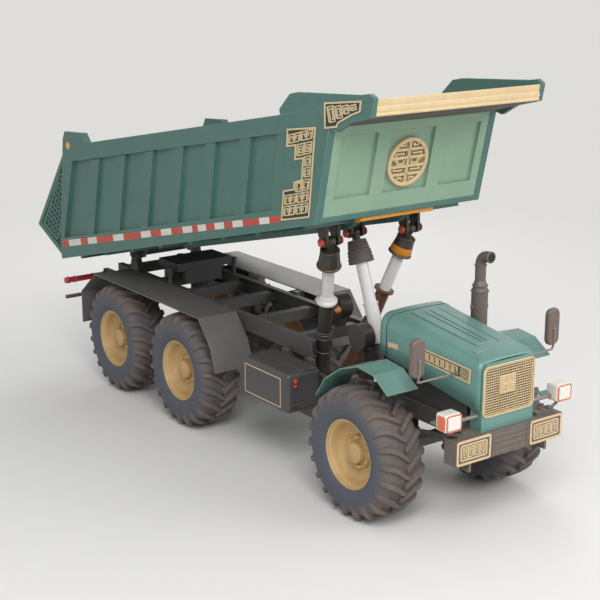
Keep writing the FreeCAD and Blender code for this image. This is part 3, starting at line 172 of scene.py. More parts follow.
# each finish has three tones: the paint, the paint where it has faded, and its worn edges
finishes = {
    # the bed's green is the bonnet's green paint darkened with painted shade
    "bedPaintPaintedShade": {"tones": ((64, 104, 96), (82, 117, 108), (142, 166, 152)), "rough": 0.46,
                 "dustAmount": 0.3},
    "headPaint": {"tones": ((126, 156, 132), (142, 166, 142), (176, 196, 176)), "rough": 0.5,
                  "dustAmount": 0.2},
    "bonnetPaint": {"tones": ((88, 133, 124), (108, 147, 138), (168, 192, 184)), "rough": 0.36,
                    "dustAmount": 0.2, "coat": 0.25},
    "fenderPaint": {"tones": ((84, 128, 119), (104, 142, 134), (160, 184, 176)), "rough": 0.42,
                    "dustAmount": 0.35, "dustTop": 1.6},
    "bracketPaint": {"tones": ((96, 124, 112), (132, 148, 134), (176, 186, 172)), "rough": 0.5,
                     "dustAmount": 0.45, "dustTop": 1.6},
    # painted shade: dark sheets and strips in recesses, grooves and openings
    "seamShade": {"tones": ((30, 58, 54), (36, 64, 58), (40, 70, 64)), "rough": 0.7, "dustAmount": 0.1},
    "rimCream": {"tones": ((192, 160, 106), (204, 174, 124), (230, 208, 164)), "dust": (150, 112, 66),
                 "rough": 0.42, "dustAmount": 0.5, "dustTop": 1.3},
    "trimCream": {"tones": ((208, 184, 142), (192, 166, 124), (232, 216, 180)), "dust": (140, 118, 88),
                  "rough": 0.5, "dustAmount": 0.25, "patchScale": 7.0},
    "frameGrey": {"tones": ((66, 66, 68), (80, 78, 76), (122, 118, 112)), "rough": 0.55, "dustAmount": 0.5,
                  "dustTop": 2.0},
    # painted shade: a dark sheet behind the grille and a dark disc in the exhaust's mouth
    "paintedShadeDark": {"tones": ((34, 32, 32), (42, 40, 38), (60, 58, 56)), "rough": 0.8, "dustAmount": 0.2},
    "panelGrey": {"tones": ((88, 87, 89), (104, 100, 99), (140, 134, 130)), "rough": 0.48,
                  "dustAmount": 0.5, "dustTop": 1.8},
    "boxGrey": {"tones": ((62, 63, 66), (76, 74, 72), (112, 110, 108)), "rough": 0.42, "dustAmount": 0.4,
                "dustTop": 1.3},
    "bumperGrey": {"tones": ((96, 88, 82), (112, 102, 94), (146, 134, 120)), "rough": 0.55,
                   "dustAmount": 0.4},
    "exhaustBrown": {"tones": ((106, 96, 90), (92, 82, 76), (146, 134, 124)), "rough": 0.5,
                     "dustAmount": 0.2, "metallic": 0.25},
    "mirrorBrown": {"tones": ((100, 86, 78), (112, 96, 86), (144, 128, 114)), "rough": 0.42,
                    "dustAmount": 0.2},
    "armGrey": {"tones": ((132, 126, 118), (116, 108, 100), (170, 164, 154)), "rough": 0.4,
                "dustAmount": 0.2, "metallic": 0.3},
    "lensWhite": {"tones": ((222, 216, 204), (230, 226, 218), (240, 238, 230)), "rough": 0.2,
                  "dustAmount": 0.15, "coat": 0.6},
    "lensOrange": {"tones": ((206, 98, 56), (220, 116, 70), (232, 150, 110)), "rough": 0.25,
                   "dustAmount": 0.15, "coat": 0.5},
    "lensRed": {"tones": ((184, 36, 34), (150, 40, 40), (220, 110, 100)), "rough": 0.25, "dustAmount": 0.25,
                "coat": 0.5},
    "lensAmber": {"tones": ((224, 160, 46), (234, 176, 70), (242, 204, 120)), "rough": 0.3,
                  "dustAmount": 0.1, "coat": 0.4},
    "barAmber": {"tones": ((206, 138, 24), (190, 120, 20), (226, 176, 80)), "rough": 0.5,
                 "dustAmount": 0.15},
    "stripeRed": {"tones": ((186, 66, 40), (172, 62, 42), (206, 130, 100)), "rough": 0.4, "dustAmount": 0.2,
                  "patchScale": 6.0},
    "stripeWhite": {"tones": ((214, 212, 204), (200, 196, 186), (228, 226, 220)), "rough": 0.4,
                    "dustAmount": 0.3, "patchScale": 6.0},
    "ramWhite": {"tones": ((214, 213, 212), (198, 194, 188), (232, 230, 226)), "rough": 0.28,
                 "dustAmount": 0.2, "dustTop": 2.2, "coat": 0.3},
    "ramDark": {"tones": ((60, 56, 52), (76, 66, 56), (128, 112, 92)), "rough": 0.4, "dustAmount": 0.25,
                "metallic": 0.3},
    "ramBrown": {"tones": ((104, 72, 46), (80, 58, 42), (146, 108, 72)), "rough": 0.45, "dustAmount": 0.25,
                 "metallic": 0.2},
    "bootGrey": {"tones": ((96, 88, 84), (82, 76, 74), (120, 112, 106)), "rough": 0.75, "dustAmount": 0.25},
    "pinRed": {"tones": ((196, 78, 48), (160, 66, 50), (228, 150, 112)), "rough": 0.35, "dustAmount": 0.15,
               "patchScale": 14.0},
    "knobRust": {"tones": ((176, 104, 58), (140, 84, 52), (216, 150, 96)), "rough": 0.42, "dustAmount": 0.2,
                 "patchScale": 12.0},
}


def openFinish(name, group, values, bump):
    # a material whose colour, roughness and relief all come from one group
    material = bpy.data.materials.new(name)
    material.use_nodes = True
    tree = material.node_tree
    shader = tree.nodes["Principled BSDF"]
    surface = addNode(tree, "ShaderNodeGroup", node_tree=group)
    for label, value in values.items():
        surface.inputs[label].default_value = value
    tree.links.new(surface.outputs["Color"], shader.inputs["Base Color"])
    tree.links.new(surface.outputs["Roughness"], shader.inputs["Roughness"])
    told = {"Height": surface.outputs["Height"], "Strength": bump, "Distance": 0.01}
    relief = addNode(tree, "ShaderNodeBump", told)
    tree.links.new(relief.outputs["Normal"], shader.inputs["Normal"])
    return material, shader


def makeFinish(name, settings):
    base, faded, bare = settings["tones"]
    values = {"Base": tone(*base), "Faded": tone(*faded), "Bare": tone(*bare),
              "Dust": tone(*settings.get("dust", dustTone)), "Patch Scale": settings.get("patchScale", 1.6),
              "Patch Amount": 0.6, "Edge Width": 0.012, "Edge Amount": 0.55,
              "Dust Top": settings.get("dustTop", 1.2), "Dust Amount": settings["dustAmount"],
              "Rough": settings["rough"], "Rough Spread": 0.25, "Grain Scale": 90.0}
    material, shader = openFinish(name, agedGroup, values, 0.12)
    shader.inputs["Metallic"].default_value = settings.get("metallic", 0.0)
    shader.inputs["Coat Weight"].default_value = settings.get("coat", 0.0)
    return material


finish = {name: makeFinish(name, settings) for name, settings in finishes.items()}
rubber = {"Base": tone(78, 82, 90), "Dust": tone(118, 102, 90), "Dust Amount": 0.85, "Rough": 0.72}
finish["tyreRubber"] = openFinish("tyreRubber", rubberGroup, rubber, 0.18)[0]
print("finishes made:", len(finish))


def clearSelection():
    bpy.ops.object.select_all(action="DESELECT")


def pick(piece):
    clearSelection()
    piece.select_set(True)
    bpy.context.view_layer.objects.active = piece


def newPiece(name, mesh):
    piece = bpy.data.objects.new(name, mesh)
    bpy.context.scene.collection.objects.link(piece)
    pick(piece)
    return piece


def meshPiece(name, build):
    # the faces that were worked out become a piece
    mesh = bpy.data.meshes.new(name)
    build.to_mesh(mesh)
    build.free()
    return newPiece(name, mesh)


def editAll(piece, *steps):
    # each step is a mesh operator with what it is told, and it works on the whole piece
    bpy.ops.object.mode_set(mode="EDIT")
    for step, told in steps:
        bpy.ops.mesh.select_all(action="SELECT")
        step(**told)
    bpy.ops.object.mode_set(mode="OBJECT")


def applyModifiers(piece):
    pick(piece)
    for modifier in list(piece.modifiers):
        bpy.ops.object.modifier_apply(modifier=modifier.name)


def shadeEvenly(piece, smooth, weigh):
    if weigh:
        weighted = piece.modifiers.new("evenShading", "WEIGHTED_NORMAL")
        weighted.keep_sharp = True
    pick(piece)
    bpy.ops.object.shade_smooth_by_angle(angle=math.radians(smooth))
    applyModifiers(piece)
    return piece


def soften(piece, width, segments=2, angle=30, smooth=42):
    if width > 0:
        bevel = piece.modifiers.new("softEdges", "BEVEL")
        bevel.width = width
        bevel.segments = segments
        bevel.limit_method = "ANGLE"
        bevel.angle_limit = math.radians(angle)
    return shadeEvenly(piece, smooth, width > 0)


def finishPiece(piece, body, material, slotName, *nodes):
    piece.data.materials.clear()
    piece.data.materials.append(finish[material])
    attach(piece, body)
    if nodes:
        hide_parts(*nodes)
    return piece


def joinPieces(name, pieces):
    clearSelection()
    for piece in pieces:
        piece.select_set(True)
    bpy.context.view_layer.objects.active = pieces[0]
    if len(pieces) > 1:
        bpy.ops.object.join()
    pieces[0].name = name
    return pieces[0]


def joinAndFinish(name, pieces, *settings):
    return finishPiece(joinPieces(name, pieces), *settings)


turnOutward = (bpy.ops.mesh.normals_make_consistent, {"inside": False})


def drawOut(piece, depth, bevel, segments):
    # flat faces drawn out to a solid with softened edges
    moved = {"TRANSFORM_OT_translate": {"value": depth}}
    editAll(piece, (bpy.ops.mesh.extrude_region_move, moved), turnOutward)
    return soften(piece, bevel, segments)


def prism(name, outline, place, depth, bevel=0.003, segments=2):
    # place turns a flat point into a point in space, and depth is the way it is drawn out
    mesh = bpy.data.meshes.new(name)
    mesh.from_pydata([place(u, v) for u, v in outline], [], [list(range(len(outline)))])
    return drawOut(newPiece(name, mesh), depth, bevel, segments)


def softBox(name, low, high, bevel=0.006, segments=2):
    middle = (Vector(low) + Vector(high)) / 2
    clearSelection()
    bpy.ops.mesh.primitive_cube_add(size=1, location=middle)
    piece = bpy.context.object
    piece.name = name
    piece.scale = Vector(high) - Vector(low)
    bpy.ops.object.transform_apply(location=True, rotation=True, scale=True)
    return soften(piece, bevel, segments)


def strips(name, paths, width, place, depth, bevel=0.0):
    # flat bands that follow each path with mitred corners, drawn out to bars
    build = bmesh.new()
    for path in paths:
        points = [Vector(point) for point in path]
        closed = (points[0] - points[-1]).length < 1e-6
        if closed:
            points = points[:-1]
        count = len(points)
        sides = []
        for index, point in enumerate(points):
            before = points[index - 1] if closed or index else None
            after = points[(index + 1) % count] if closed or index < count - 1 else None
            ways = [(point - before).normalized()] if before is not None else []
            ways += [(after - point).normalized()] if after is not None else []
            normals = [Vector((-way.y, way.x)) for way in ways]
            middle = sum(normals, Vector((0, 0))) / len(normals)
            offset = middle / max(middle.length_squared, 0.3) * width / 2
            sides.append([build.verts.new(place(*(point + way))) for way in (offset, -offset)])
        for index in range(count if closed else count - 1):
            first, second = sides[index], sides[(index + 1) % count]
            build.faces.new((first[0], first[1], second[1], second[0]))
    return drawOut(meshPiece(name, build), depth, bevel, 2)


def lathe(name, profile, origin, axis, steps=48, smooth=42):
    # profile holds (radius, distance along the axis)
    mesh = bpy.data.meshes.new(name)
    mesh.from_pydata([(radius, 0, along) for radius, along in profile],
                     [(index, index + 1) for index in range(len(profile) - 1)], [])
    piece = newPiece(name, mesh)
    turned = {"steps": steps, "angle": math.tau, "center": (0, 0, 0), "axis": (0, 0, 1)}
    merged = {"threshold": 0.00002}
    editAll(piece, (bpy.ops.mesh.spin, turned), (bpy.ops.mesh.remove_doubles, merged), turnOutward)
    turn = Vector((0, 0, 1)).rotation_difference(Vector(axis).normalized()).to_matrix().to_4x4()
    piece.data.transform(Matrix.Translation(Vector(origin)) @ turn)
    return soften(piece, 0, smooth=smooth)


def pipe(name, points, radius, curved=True, steps=4):
    curve = bpy.data.curves.new(name, "CURVE")
    curve.dimensions = "3D"
    spline = curve.splines.new("NURBS" if curved else "POLY")
    spline.points.add(len(points) - 1)
    for point, place in zip(spline.points, points):
        point.co = (*place, 1)
    if curved:
        spline.order_u = 3
        spline.use_endpoint_u = True
    curve.bevel_depth = radius
    curve.bevel_resolution = steps
    curve.use_fill_caps = True
    piece = bpy.data.objects.new(name, curve)
    bpy.context.scene.collection.objects.link(piece)
    pick(piece)
    bpy.ops.object.convert(target="MESH")
    piece = bpy.context.object
    return soften(piece, 0)


def repeatPiece(name, master, places):
    # one modelled piece set down at each place, in one mesh
    build = bmesh.new()
    for place in places:
        copy = master.data.copy()
        copy.transform(place)
        build.from_mesh(copy)
        bpy.data.meshes.remove(copy)
    bpy.data.objects.remove(master)
    return meshPiece(name, build)


def foldedOver(mesh):
    # how many triangles point away from the face that they fill
    mesh.calc_loop_triangles()
    faces = mesh.polygons
    return sum(triangle.area > 1e-6 and triangle.normal.dot(faces[triangle.polygon_index].normal) < 0.5
               for triangle in mesh.loop_triangles)


def softCopy(node, width, change=None):
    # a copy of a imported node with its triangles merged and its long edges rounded
    piece = frame["nodes"][node].copy()
    piece.data = piece.data.copy()
    piece.name = node + "Soft"
    piece.parent = None
    for key in list(piece.keys()):
        del piece[key]
    bpy.context.scene.collection.objects.link(piece)
    pick(piece)
    bpy.ops.mesh.customdata_custom_splitnormals_clear()
    editAll(piece, (bpy.ops.mesh.remove_doubles, {"threshold": 0.0002}),
            (bpy.ops.mesh.dissolve_limited, {"angle_limit": math.radians(0.6)}))
    if change:
        change(piece.data)
    plain = piece.data
    # where the full bevel would fold faces over, a narrower one is tried
    for share in (1.0, 0.7, 0.45, 0.25) if width > 0 else ():
        build = bmesh.new()
        build.from_mesh(plain)
        edges = [edge for edge in build.edges if len(edge.link_faces) == 2 and edge.calc_length() > 0.1
                 and edge.calc_face_angle(0) > math.radians(24)]
        bmesh.ops.bevel(build, geom=edges, offset=width * share, offset_type="OFFSET", segments=2,
                        profile=0.5, affect="EDGES", clamp_overlap=False)
        rounded = bpy.data.meshes.new(node)
        build.to_mesh(rounded)
        build.free()
        if foldedOver(rounded) <= foldedOver(plain):
            piece.data = rounded
            break
    return shadeEvenly(piece, 42, True)


def paintFaces(piece, material, test):
    # a second finish on the faces whose middle passes the test
    piece.data.materials.append(finish[material])
    index = len(piece.data.materials) - 1
    for face in piece.data.polygons:
        if test(face.center):
            face.material_index = index


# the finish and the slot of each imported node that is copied, with the width of its softened edges
dressing = [
    ("frameGrey", "frame_grey", {"chassis_frame": 0.006, "firewall": 0.004, "front_axle": 0,
                                 "rear_axles": 0, "springs": 0.003, "engine": 0.02, "drive_shaft": 0}),
    ("ramDark", "ram_dark", {"air_tanks": 0}),
    ("frameGrey", "frame_grey", {"bed_saddle": 0.008, "hoist_cradle": 0.004}),
    ("bracketPaint", "frame_grey", {"knuckle_left": 0.004, "knuckle_right": 0.004}),
    ("fenderPaint", "paint_green", {"front_fender_left": 0.006, "front_fender_right": 0.006}),
    ("panelGrey", "panel_grey", {"rear_fenders": 0.006}),
    # the bed's green carries painted shade
    ("bedPaintPaintedShade", "paint_green", {"bed_floor": 0.006}),
    ("headPaint", "paint_green_pale", {"bed_headboard": 0.009}),
    # the bed's sides and canopy carry the green with painted shade
    ("bedPaintPaintedShade", "paint_green", {"bed_side_left": 0.012, "bed_side_right": 0.012, "bed_canopy": 0.014}),
    ("bonnetPaint", "paint_green", {"nose_shell": 0.03}),
    ("bumperGrey", "bumper_grey", {"bumper": 0.01}),
    ("exhaustBrown", "exhaust_brown", {"exhaust": 0}),
    ("frameGrey", "frame_grey", {"tail_lights": 0}),
    ("ramDark", "ram_dark", {"hoist_ears": 0, "ram_centre_head": 0, "ram_left_head": 0,
                             "ram_right_head": 0}),
    ("ramWhite", "ram_white", {"ram_centre_middle": 0}),
    ("ramBrown", "ram_white", {"ram_left_middle": 0}),
    ("ramWhite", "ram_white", {"ram_right_middle": 0}),
    ("ramDark", "ram_dark", {"ram_centre_barrel": 0}),
    ("ramBrown", "ram_dark", {"ram_left_barrel": 0}),
    ("ramDark", "ram_dark", {"ram_right_barrel": 0}),
]

# what changes in the visual copies of some nodes, in metres
fitting = {
    "wall": 1.18, "wallKept": 0.8, "plates": 4.565, "platesBack": 4.5625, "nose": 0.938, "noseTop": 1.95,
    "noseDrop": 0.008, "kingpin": (3.2244, 0.56), "eye": 0.032, "bore": 0.0335,
}
# each ram from its eye under the bed to its foot, with how far from the eye its ring and its barrel are
rams = {
    "centre": {"eye": (1.7984, 0.0, 2.923), "foot": (2.7044, 0.0, 0.600), "ring": 0.8737, "barrel": 1.3794},
}
for name, side in sides:
    rams[name] = {"eye": (2.1144, side * 0.612, 2.950), "foot": (1.3269, side * 0.162, 0.700), "ring": 0.8605,
                  "barrel": 1.320}
# points between two radii, and no further than a reach from the eye, are drawn towards the ram's axis
slimCup = {"reach": 0.20, "radii": (0.12, 0.15), "kept": 0.80}
slimRing = {"reach": 9.0, "radii": (0.11, 9.0), "kept": 0.74}


def ramAxis(ram):
    return (Vector(ram["foot"]) - Vector(ram["eye"])).normalized()


def alongRam(ram, distance):
    return Vector(ram["eye"]) + ramAxis(ram) * distance


def drawIn(mesh):
    # the side's skin is drawn in a little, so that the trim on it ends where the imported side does
    for vertex in mesh.vertices:
        depth = abs(vertex.co.y) - fitting["wall"]
        if depth > 0.001:
            vertex.co.y = math.copysign(fitting["wall"] + depth * fitting["wallKept"], vertex.co.y)


def drawPlates(mesh):
    # the bumper's plates stand back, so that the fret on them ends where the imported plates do
    for vertex in mesh.vertices:
        if vertex.co.x > fitting["plates"]:
            vertex.co.x = fitting["platesBack"]


def drawNose(mesh):
    # the nose shell is a little slimmer, because the bonnet's front edge rolls over it
    for vertex in mesh.vertices:
        vertex.co.y *= fitting["nose"]
        if vertex.co.z > fitting["noseTop"]:
            vertex.co.z -= fitting["noseDrop"]


def widenBore(mesh):
    # the axle's eyes stand off the kingpins, which turn in them
    x, y = fitting["kingpin"]
    for vertex in mesh.vertices:
        centre = Vector((x, math.copysign(y, vertex.co.y), vertex.co.z))
        arm = vertex.co - centre
        if 0.001 < arm.length < fitting["eye"]:
            vertex.co = centre + arm.normalized() * fitting["bore"]


def slimmer(ram, settings):
    eye, axis = Vector(ram["eye"]), ramAxis(ram)
    low, high = settings["radii"]

    def change(mesh):
        for vertex in mesh.vertices:
            along = (vertex.co - eye).dot(axis)
            centre = eye + axis * along
            if along < settings["reach"] and low < (vertex.co - centre).length < high:
                vertex.co = centre + (vertex.co - centre) * settings["kept"]
    return change


changes = {"bed_side_left": drawIn, "bed_side_right": drawIn, "bed_canopy": drawIn, "bumper": drawPlates,
           "nose_shell": drawNose, "front_axle": widenBore,
           "ram_centre_middle": slimmer(rams["centre"], slimRing)}
for name, ram in rams.items():
    changes["ram_%s_head" % name] = slimmer(ram, slimCup)

dressed = {}
for material, slotName, widths in dressing:
    for node, width in widths.items():
        piece = softCopy(node, width, changes.get(node))
        dressed[node] = finishPiece(piece, bodyOf[node], material, slotName, node)
print("nodes dressed:", len(dressed))

tyre = {
    # half of the section, radius by distance across, from the bead to the crown
    "half": [(0.400, 0.236), (0.414, 0.252), (0.436, 0.270), (0.475, 0.289), (0.530, 0.297), (0.585, 0.293),
             (0.640, 0.277), (0.680, 0.252), (0.704, 0.214), (0.716, 0.150), (0.721, 0.060)],
    # each station of a lug: foot and top (across, radius), half width at the top and at the foot
    "lug": [((-0.018, 0.700), (-0.014, 0.776), 0.024, 0.036), ((0.050, 0.700), (0.052, 0.776), 0.030, 0.042),
            ((0.110, 0.700), (0.114, 0.775), 0.031, 0.043), ((0.165, 0.695), (0.172, 0.769), 0.031, 0.044),
            ((0.208, 0.680), (0.224, 0.756), 0.031, 0.045), ((0.236, 0.655), (0.264, 0.728), 0.030, 0.045),
            ((0.255, 0.625), (0.287, 0.688), 0.027, 0.042), ((0.270, 0.590), (0.2955, 0.640), 0.020, 0.036),
            ((0.276, 0.568), (0.2945, 0.596), 0.012, 0.028)],
    "sweep": 0.225, "swept": 0.285, "lugs": 22, "steps": 88, "hub": 0.777, "across": 0.95,
    # where the dust of the ground begins on the side of a tyre, and over how much it grows
    "tread": (0.56, 0.13),
}


def makeLug():
    build = bmesh.new()
    rows = []
    for foot, top, topHalf, footHalf in tyre["lug"]:
        share = min(max(top[0] / tyre["swept"], 0), 1)
        turn = tyre["sweep"] * math.sin(share * math.pi / 2)
        row = []
        for (across, radius), half, sign in ((foot, footHalf, -1), (top, topHalf, -1), (top, topHalf, 1),
                                             (foot, footHalf, 1)):
            angle = turn + sign * half / radius
            row.append(build.verts.new((radius * math.cos(angle), across, radius * math.sin(angle))))
        rows.append(row)
    for first, second in zip(rows, rows[1:]):
        for index in range(4):
            after = (index + 1) % 4
            build.faces.new((first[index], first[after], second[after], second[index]))
    build.faces.new(rows[0])
    build.faces.new(rows[-1][::-1])
    bmesh.ops.recalc_face_normals(build, faces=build.faces)
    return soften(meshPiece("lug", build), 0.008, 2, angle=28)


def makeTyreMaster():
    near = [(radius, -along) for radius, along in tyre["half"]]
    section = near + tyre["half"][::-1] + near[:1]
    body = lathe("tyreBody", section, (0, 0, 0), (0, 1, 0), tyre["steps"])
    lug = makeLug()
    pitch = math.tau / tyre["lugs"]
    places = []
    for index in range(tyre["lugs"]):
        places.append(Matrix.Rotation(-index * pitch, 4, "Y"))
        places.append(Matrix.Rotation(-(index + 0.5) * pitch, 4, "Y") @ Matrix.Diagonal((1, -1, 1, 1)))
    lugs = repeatPiece("lugs", lug, places)
    pick(lugs)
    editAll(lugs, turnOutward)
    soften(lugs, 0)
    return joinPieces("tyreMaster", [body, lugs])


rim = {
    "dish": [(0.0, 0.180), (0.106, 0.180), (0.120, 0.172), (0.126, 0.160), (0.128, 0.100), (0.140, 0.088),
             (0.176, 0.082), (0.192, 0.072), (0.200, 0.056), (0.262, 0.058), (0.310, 0.072), (0.340, 0.098),
             (0.352, 0.140), (0.358, 0.196), (0.372, 0.214), (0.384, 0.222), (0.388, 0.240), (0.397, 0.251),
             (0.406, 0.251), (0.412, 0.244), (0.412, 0.238), (0.396, 0.230), (0.384, 0.216), (0.382, -0.216),
             (0.396, -0.230), (0.412, -0.238), (0.412, -0.247), (0.404, -0.251), (0.392, -0.247),
             (0.372, -0.214), (0.364, -0.060), (0.330, 0.010), (0.260, 0.036), (0.170, 0.040), (0.132, 0.010),
             (0.130, -0.110), (0.0, -0.110)],
    "lobe": [(0, 0.040), (0.0186, 0.040), (0.027, 0.032), (0.030, 0.016), (0.0345, -0.03)],
    "lobes": 6, "lobeAt": (0.172, 0.078, 0), "steps": 72,
}


def makeRimMaster():
    dish = lathe("rimDish", rim["dish"], (0, 0, 0), (0, 1, 0), rim["steps"], smooth=34)
    lobe = lathe("lobe", rim["lobe"], (0, 0, 0), (0, 1, 0), 16)
    places = []
    for index in range(rim["lobes"]):
        turn = Matrix.Rotation(math.tau * (index + 0.3) / rim["lobes"], 4, "Y")
        places.append(turn @ Matrix.Translation(rim["lobeAt"]) @ Matrix.Diagonal((1.0, 1, 1.5, 1)))
    lobes = soften(repeatPiece("lobes", lobe, places), 0)
    return joinPieces("rimMaster", [dish, lobes])


def makeWheels():
    tyreMaster = makeTyreMaster()
    rimMaster = makeRimMaster()
    for index, row in enumerate(("front", "middle", "rear")):
        for sideName, side in sides:
            low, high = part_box("tyre_%s_%s" % (row, sideName))
            hub = Vector(((low.x + high.x) / 2, side * tyre["across"], tyre["hub"]))
            turn = Matrix.Diagonal((1, side, 1, 1))
            body = "wheel_%s_%s" % (row, sideName)
            for master, kind, material, slotName in ((tyreMaster, "tyre", "tyreRubber", "tyre"),
                                                     (rimMaster, "wheel", "rimCream", "rim_cream")):
                mesh = master.data.copy()
                spin = Matrix.Rotation(0.13 + 0.21 * index, 4, "Y")
                mesh.transform(Matrix.Translation(hub) @ spin @ turn)
                if side < 0:
                    mesh.flip_normals()
                piece = newPiece("%s_%s_%s_dressed" % (kind, row, sideName), mesh)
                if kind == "tyre":
                    tread = mesh.attributes.new("tread", "FLOAT", "POINT")
                    reach = [math.hypot(*(vertex.co - hub).xz) for vertex in mesh.vertices]
                    start, width = tyre["tread"]
                    tread.data.foreach_set("value", [min(max((r - start) / width, 0), 1) for r in reach])
                finishPiece(piece, body, material, slotName, "%s_%s_%s" % (kind, row, sideName))
    bpy.data.objects.remove(tyreMaster)
    bpy.data.objects.remove(rimMaster)


makeWheels()
print("wheels made")

# the bed's own frame: u along the floor from the low corner of the tail, v square to it
bed = {"tilt": math.radians(14.4), "tail": Vector((-3.7566, 0, 1.674)), "wall": 1.18, "skin": 1.236,
       "front": 6.602, "lean": 0.5134}
alongBed = Vector((math.cos(bed["tilt"]), 0, math.sin(bed["tilt"])))
upBed = Vector((-math.sin(bed["tilt"]), 0, math.cos(bed["tilt"])))
across = Vector((0, 1, 0))


def bedPoint(u, v, y):
    return bed["tail"] + alongBed * u + upBed * v + across * y


def onBed(y):
    return lambda u, v: bedPoint(u, v, y)


def closed(outline):
    return outline + [outline[0]]


def squareSpiral(left, low, right, high, pitch, mirrored=False):
    points = [(left, low), (left, high), (right, high), (right, low), (left + pitch, low)]
    inset = 1
    while right - left > 2 * inset * pitch + pitch * 0.6 and inset < 3:
        step = inset * pitch
        points += [(left + step, high - step), (right - step, high - step), (right - step, low + step)]
        inset += 1
        if right - left > 2 * inset * pitch:
            points.append((left + step + pitch, low + step))
        else:
            break
    if mirrored:
        points = [(left + right - u, v) for u, v in points]
    return points


def fretRow(left, low, right, high, count, pitch, gap=0.012):
    # square spirals side by side, every second one mirrored
    width = (right - left - gap * (count - 1)) / count
    starts = enumerate(left + index * (width + gap) for index in range(count))
    return [squareSpiral(start, low, start + width, high, pitch, index % 2) for index, start in starts]


cornerFret = {
    "outline": [(6.165, 1.092), (6.700, 1.040), (6.700, 0.097), (6.158, 0.107), (6.166, 0.425),
                (6.372, 0.425), (6.372, 0.500), (6.512, 0.500), (6.512, 0.748), (6.352, 0.752),
                (6.345, 0.905), (6.172, 0.915)],
    # each row of spirals: its box along and up the bed, and how many stand in it
    "rows": [(6.20, 0.940, 6.66, 1.030, 4), (6.38, 0.785, 6.66, 0.905, 2), (6.545, 0.660, 6.66, 0.755, 1),
             (6.545, 0.540, 6.66, 0.635, 1), (6.405, 0.395, 6.66, 0.510, 2), (6.20, 0.275, 6.66, 0.372, 4),
             (6.195, 0.150, 6.66, 0.250, 4)],
    "shear": 0.38, "level": 0.56, "pitch": 0.027, "bar": 0.013, "border": 0.020,
}
wingFret = {
    "outline": [(7.119, 1.272), (7.734, 1.196), (7.694, 1.098), (7.554, 1.085), (7.300, 1.036),
                (7.262, 1.000), (7.060, 1.016)],
    "rows": [(7.150, 1.060, 7.255, 1.225, 1), (7.285, 1.082, 7.390, 1.208, 1),
             (7.420, 1.110, 7.510, 1.194, 1), (7.540, 1.128, 7.640, 1.180, 1)],
    "pitch": 0.026, "bar": 0.013, "border": 0.020,
}


def makeSideFret(name, settings, side):
    shear, level = settings.get("shear", 0), settings.get("level", 0)

    def skin(depth):
        return lambda u, v: bedPoint(u + shear * (v - level), v, side * depth)
    outline = settings["outline"]
    out = across * side
    # a dark base behind the fret, painted shade in its recesses
    base = prism(name + "Base", outline, skin(bed["skin"] - 0.002), out * 0.006, 0.0)
    finishPiece(base, bodyOf["bed_floor"], "seamShade", "paint_green")
    border = strips(name + "Border", [closed(outline)], settings["border"], skin(bed["skin"]), out * 0.0130,
                    0.002)
    paths = []
    for left, low, right, high, count in settings["rows"]:
        paths += fretRow(left, low, right, high, count, settings["pitch"])
    fret = strips(name + "Bars", paths, settings["bar"], skin(bed["skin"]), out * 0.0115, 0.0)
    joinAndFinish(name, [border, fret], bodyOf["bed_floor"], "trimCream", "trim_cream")


# where the warning stripe's colour changes along the bottom rail, and how high it runs at its two ends
stripe = {
    "edges": [0.113, 0.338, 0.734, 0.972, 1.256, 1.772, 2.086, 2.597, 2.869, 3.153, 3.425, 3.723, 3.963,
              4.105, 4.302, 4.512, 4.730, 4.928, 5.157, 5.519, 5.731, 5.953],
    "rear": (0.172, 0.268), "front": (0.083, 0.160),
}


def stripeLevel(u, row):
    share = (u - stripe["edges"][0]) / (stripe["edges"][-1] - stripe["edges"][0])
    return stripe["rear"][row] + (stripe["front"][row] - stripe["rear"][row]) * share


def makeStripe(sideName, side):
    plates = {"stripeRed": [], "stripeWhite": []}
    for index, (start, end) in enumerate(zip(stripe["edges"], stripe["edges"][1:])):
        outline = [(u, stripeLevel(u, row)) for u, row in ((start, 0), (end, 0), (end, 1), (start, 1))]
        plate = prism("stripePlate", outline, onBed(side * (bed["skin"] - 0.001)), across * side * 0.005,
                      0.0012, 1)
        plates["stripeWhite" if index % 2 else "stripeRed"].append(plate)
    for material, pieces in plates.items():
        slotName = "lamp_red" if material == "stripeRed" else "lamp_white"
        joinAndFinish("%s_%s" % (material, sideName), pieces, "bed", material, slotName)


rearWing = {
    "opening": [(0.476, 1.240), (0.432, 1.080), (0.140, 0.530), (-0.122, 0.300), (-0.520, 0.568),
                (-0.356, 0.692), (0.325, 1.250)],
    "edge": [(0.050, 0.060), (-0.625, 0.585), (0.730, 1.610)],
    "ways": (0.90, 2.42), "pitch": 0.088, "bar": 0.022, "rim": 0.040, "edgeWidth": 0.075,
    "marker": [(0, 0.0135), (0.030, 0.0125), (0.048, 0.008), (0.055, 0.0), (0.055, -0.02)],
    "markerAt": (0.80, 1.616),
}


def insideSpans(outline, point, way):
    # the stretches of a line that lie within an outline
    cuts = []
    for first, second in zip(outline, outline[1:] + outline[:1]):
        first, second = Vector(first), Vector(second)
        edge = second - first
        cross = way.x * edge.y - way.y * edge.x
        if abs(cross) < 1e-9:
            continue
        gap = first - point
        along = (gap.x * edge.y - gap.y * edge.x) / cross
        share = (gap.x * way.y - gap.y * way.x) / cross
        if 0 <= share < 1:
            cuts.append(along)
    cuts.sort()
    return [(point + way * a, point + way * b) for a, b in zip(cuts[::2], cuts[1::2]) if b - a > 0.03]


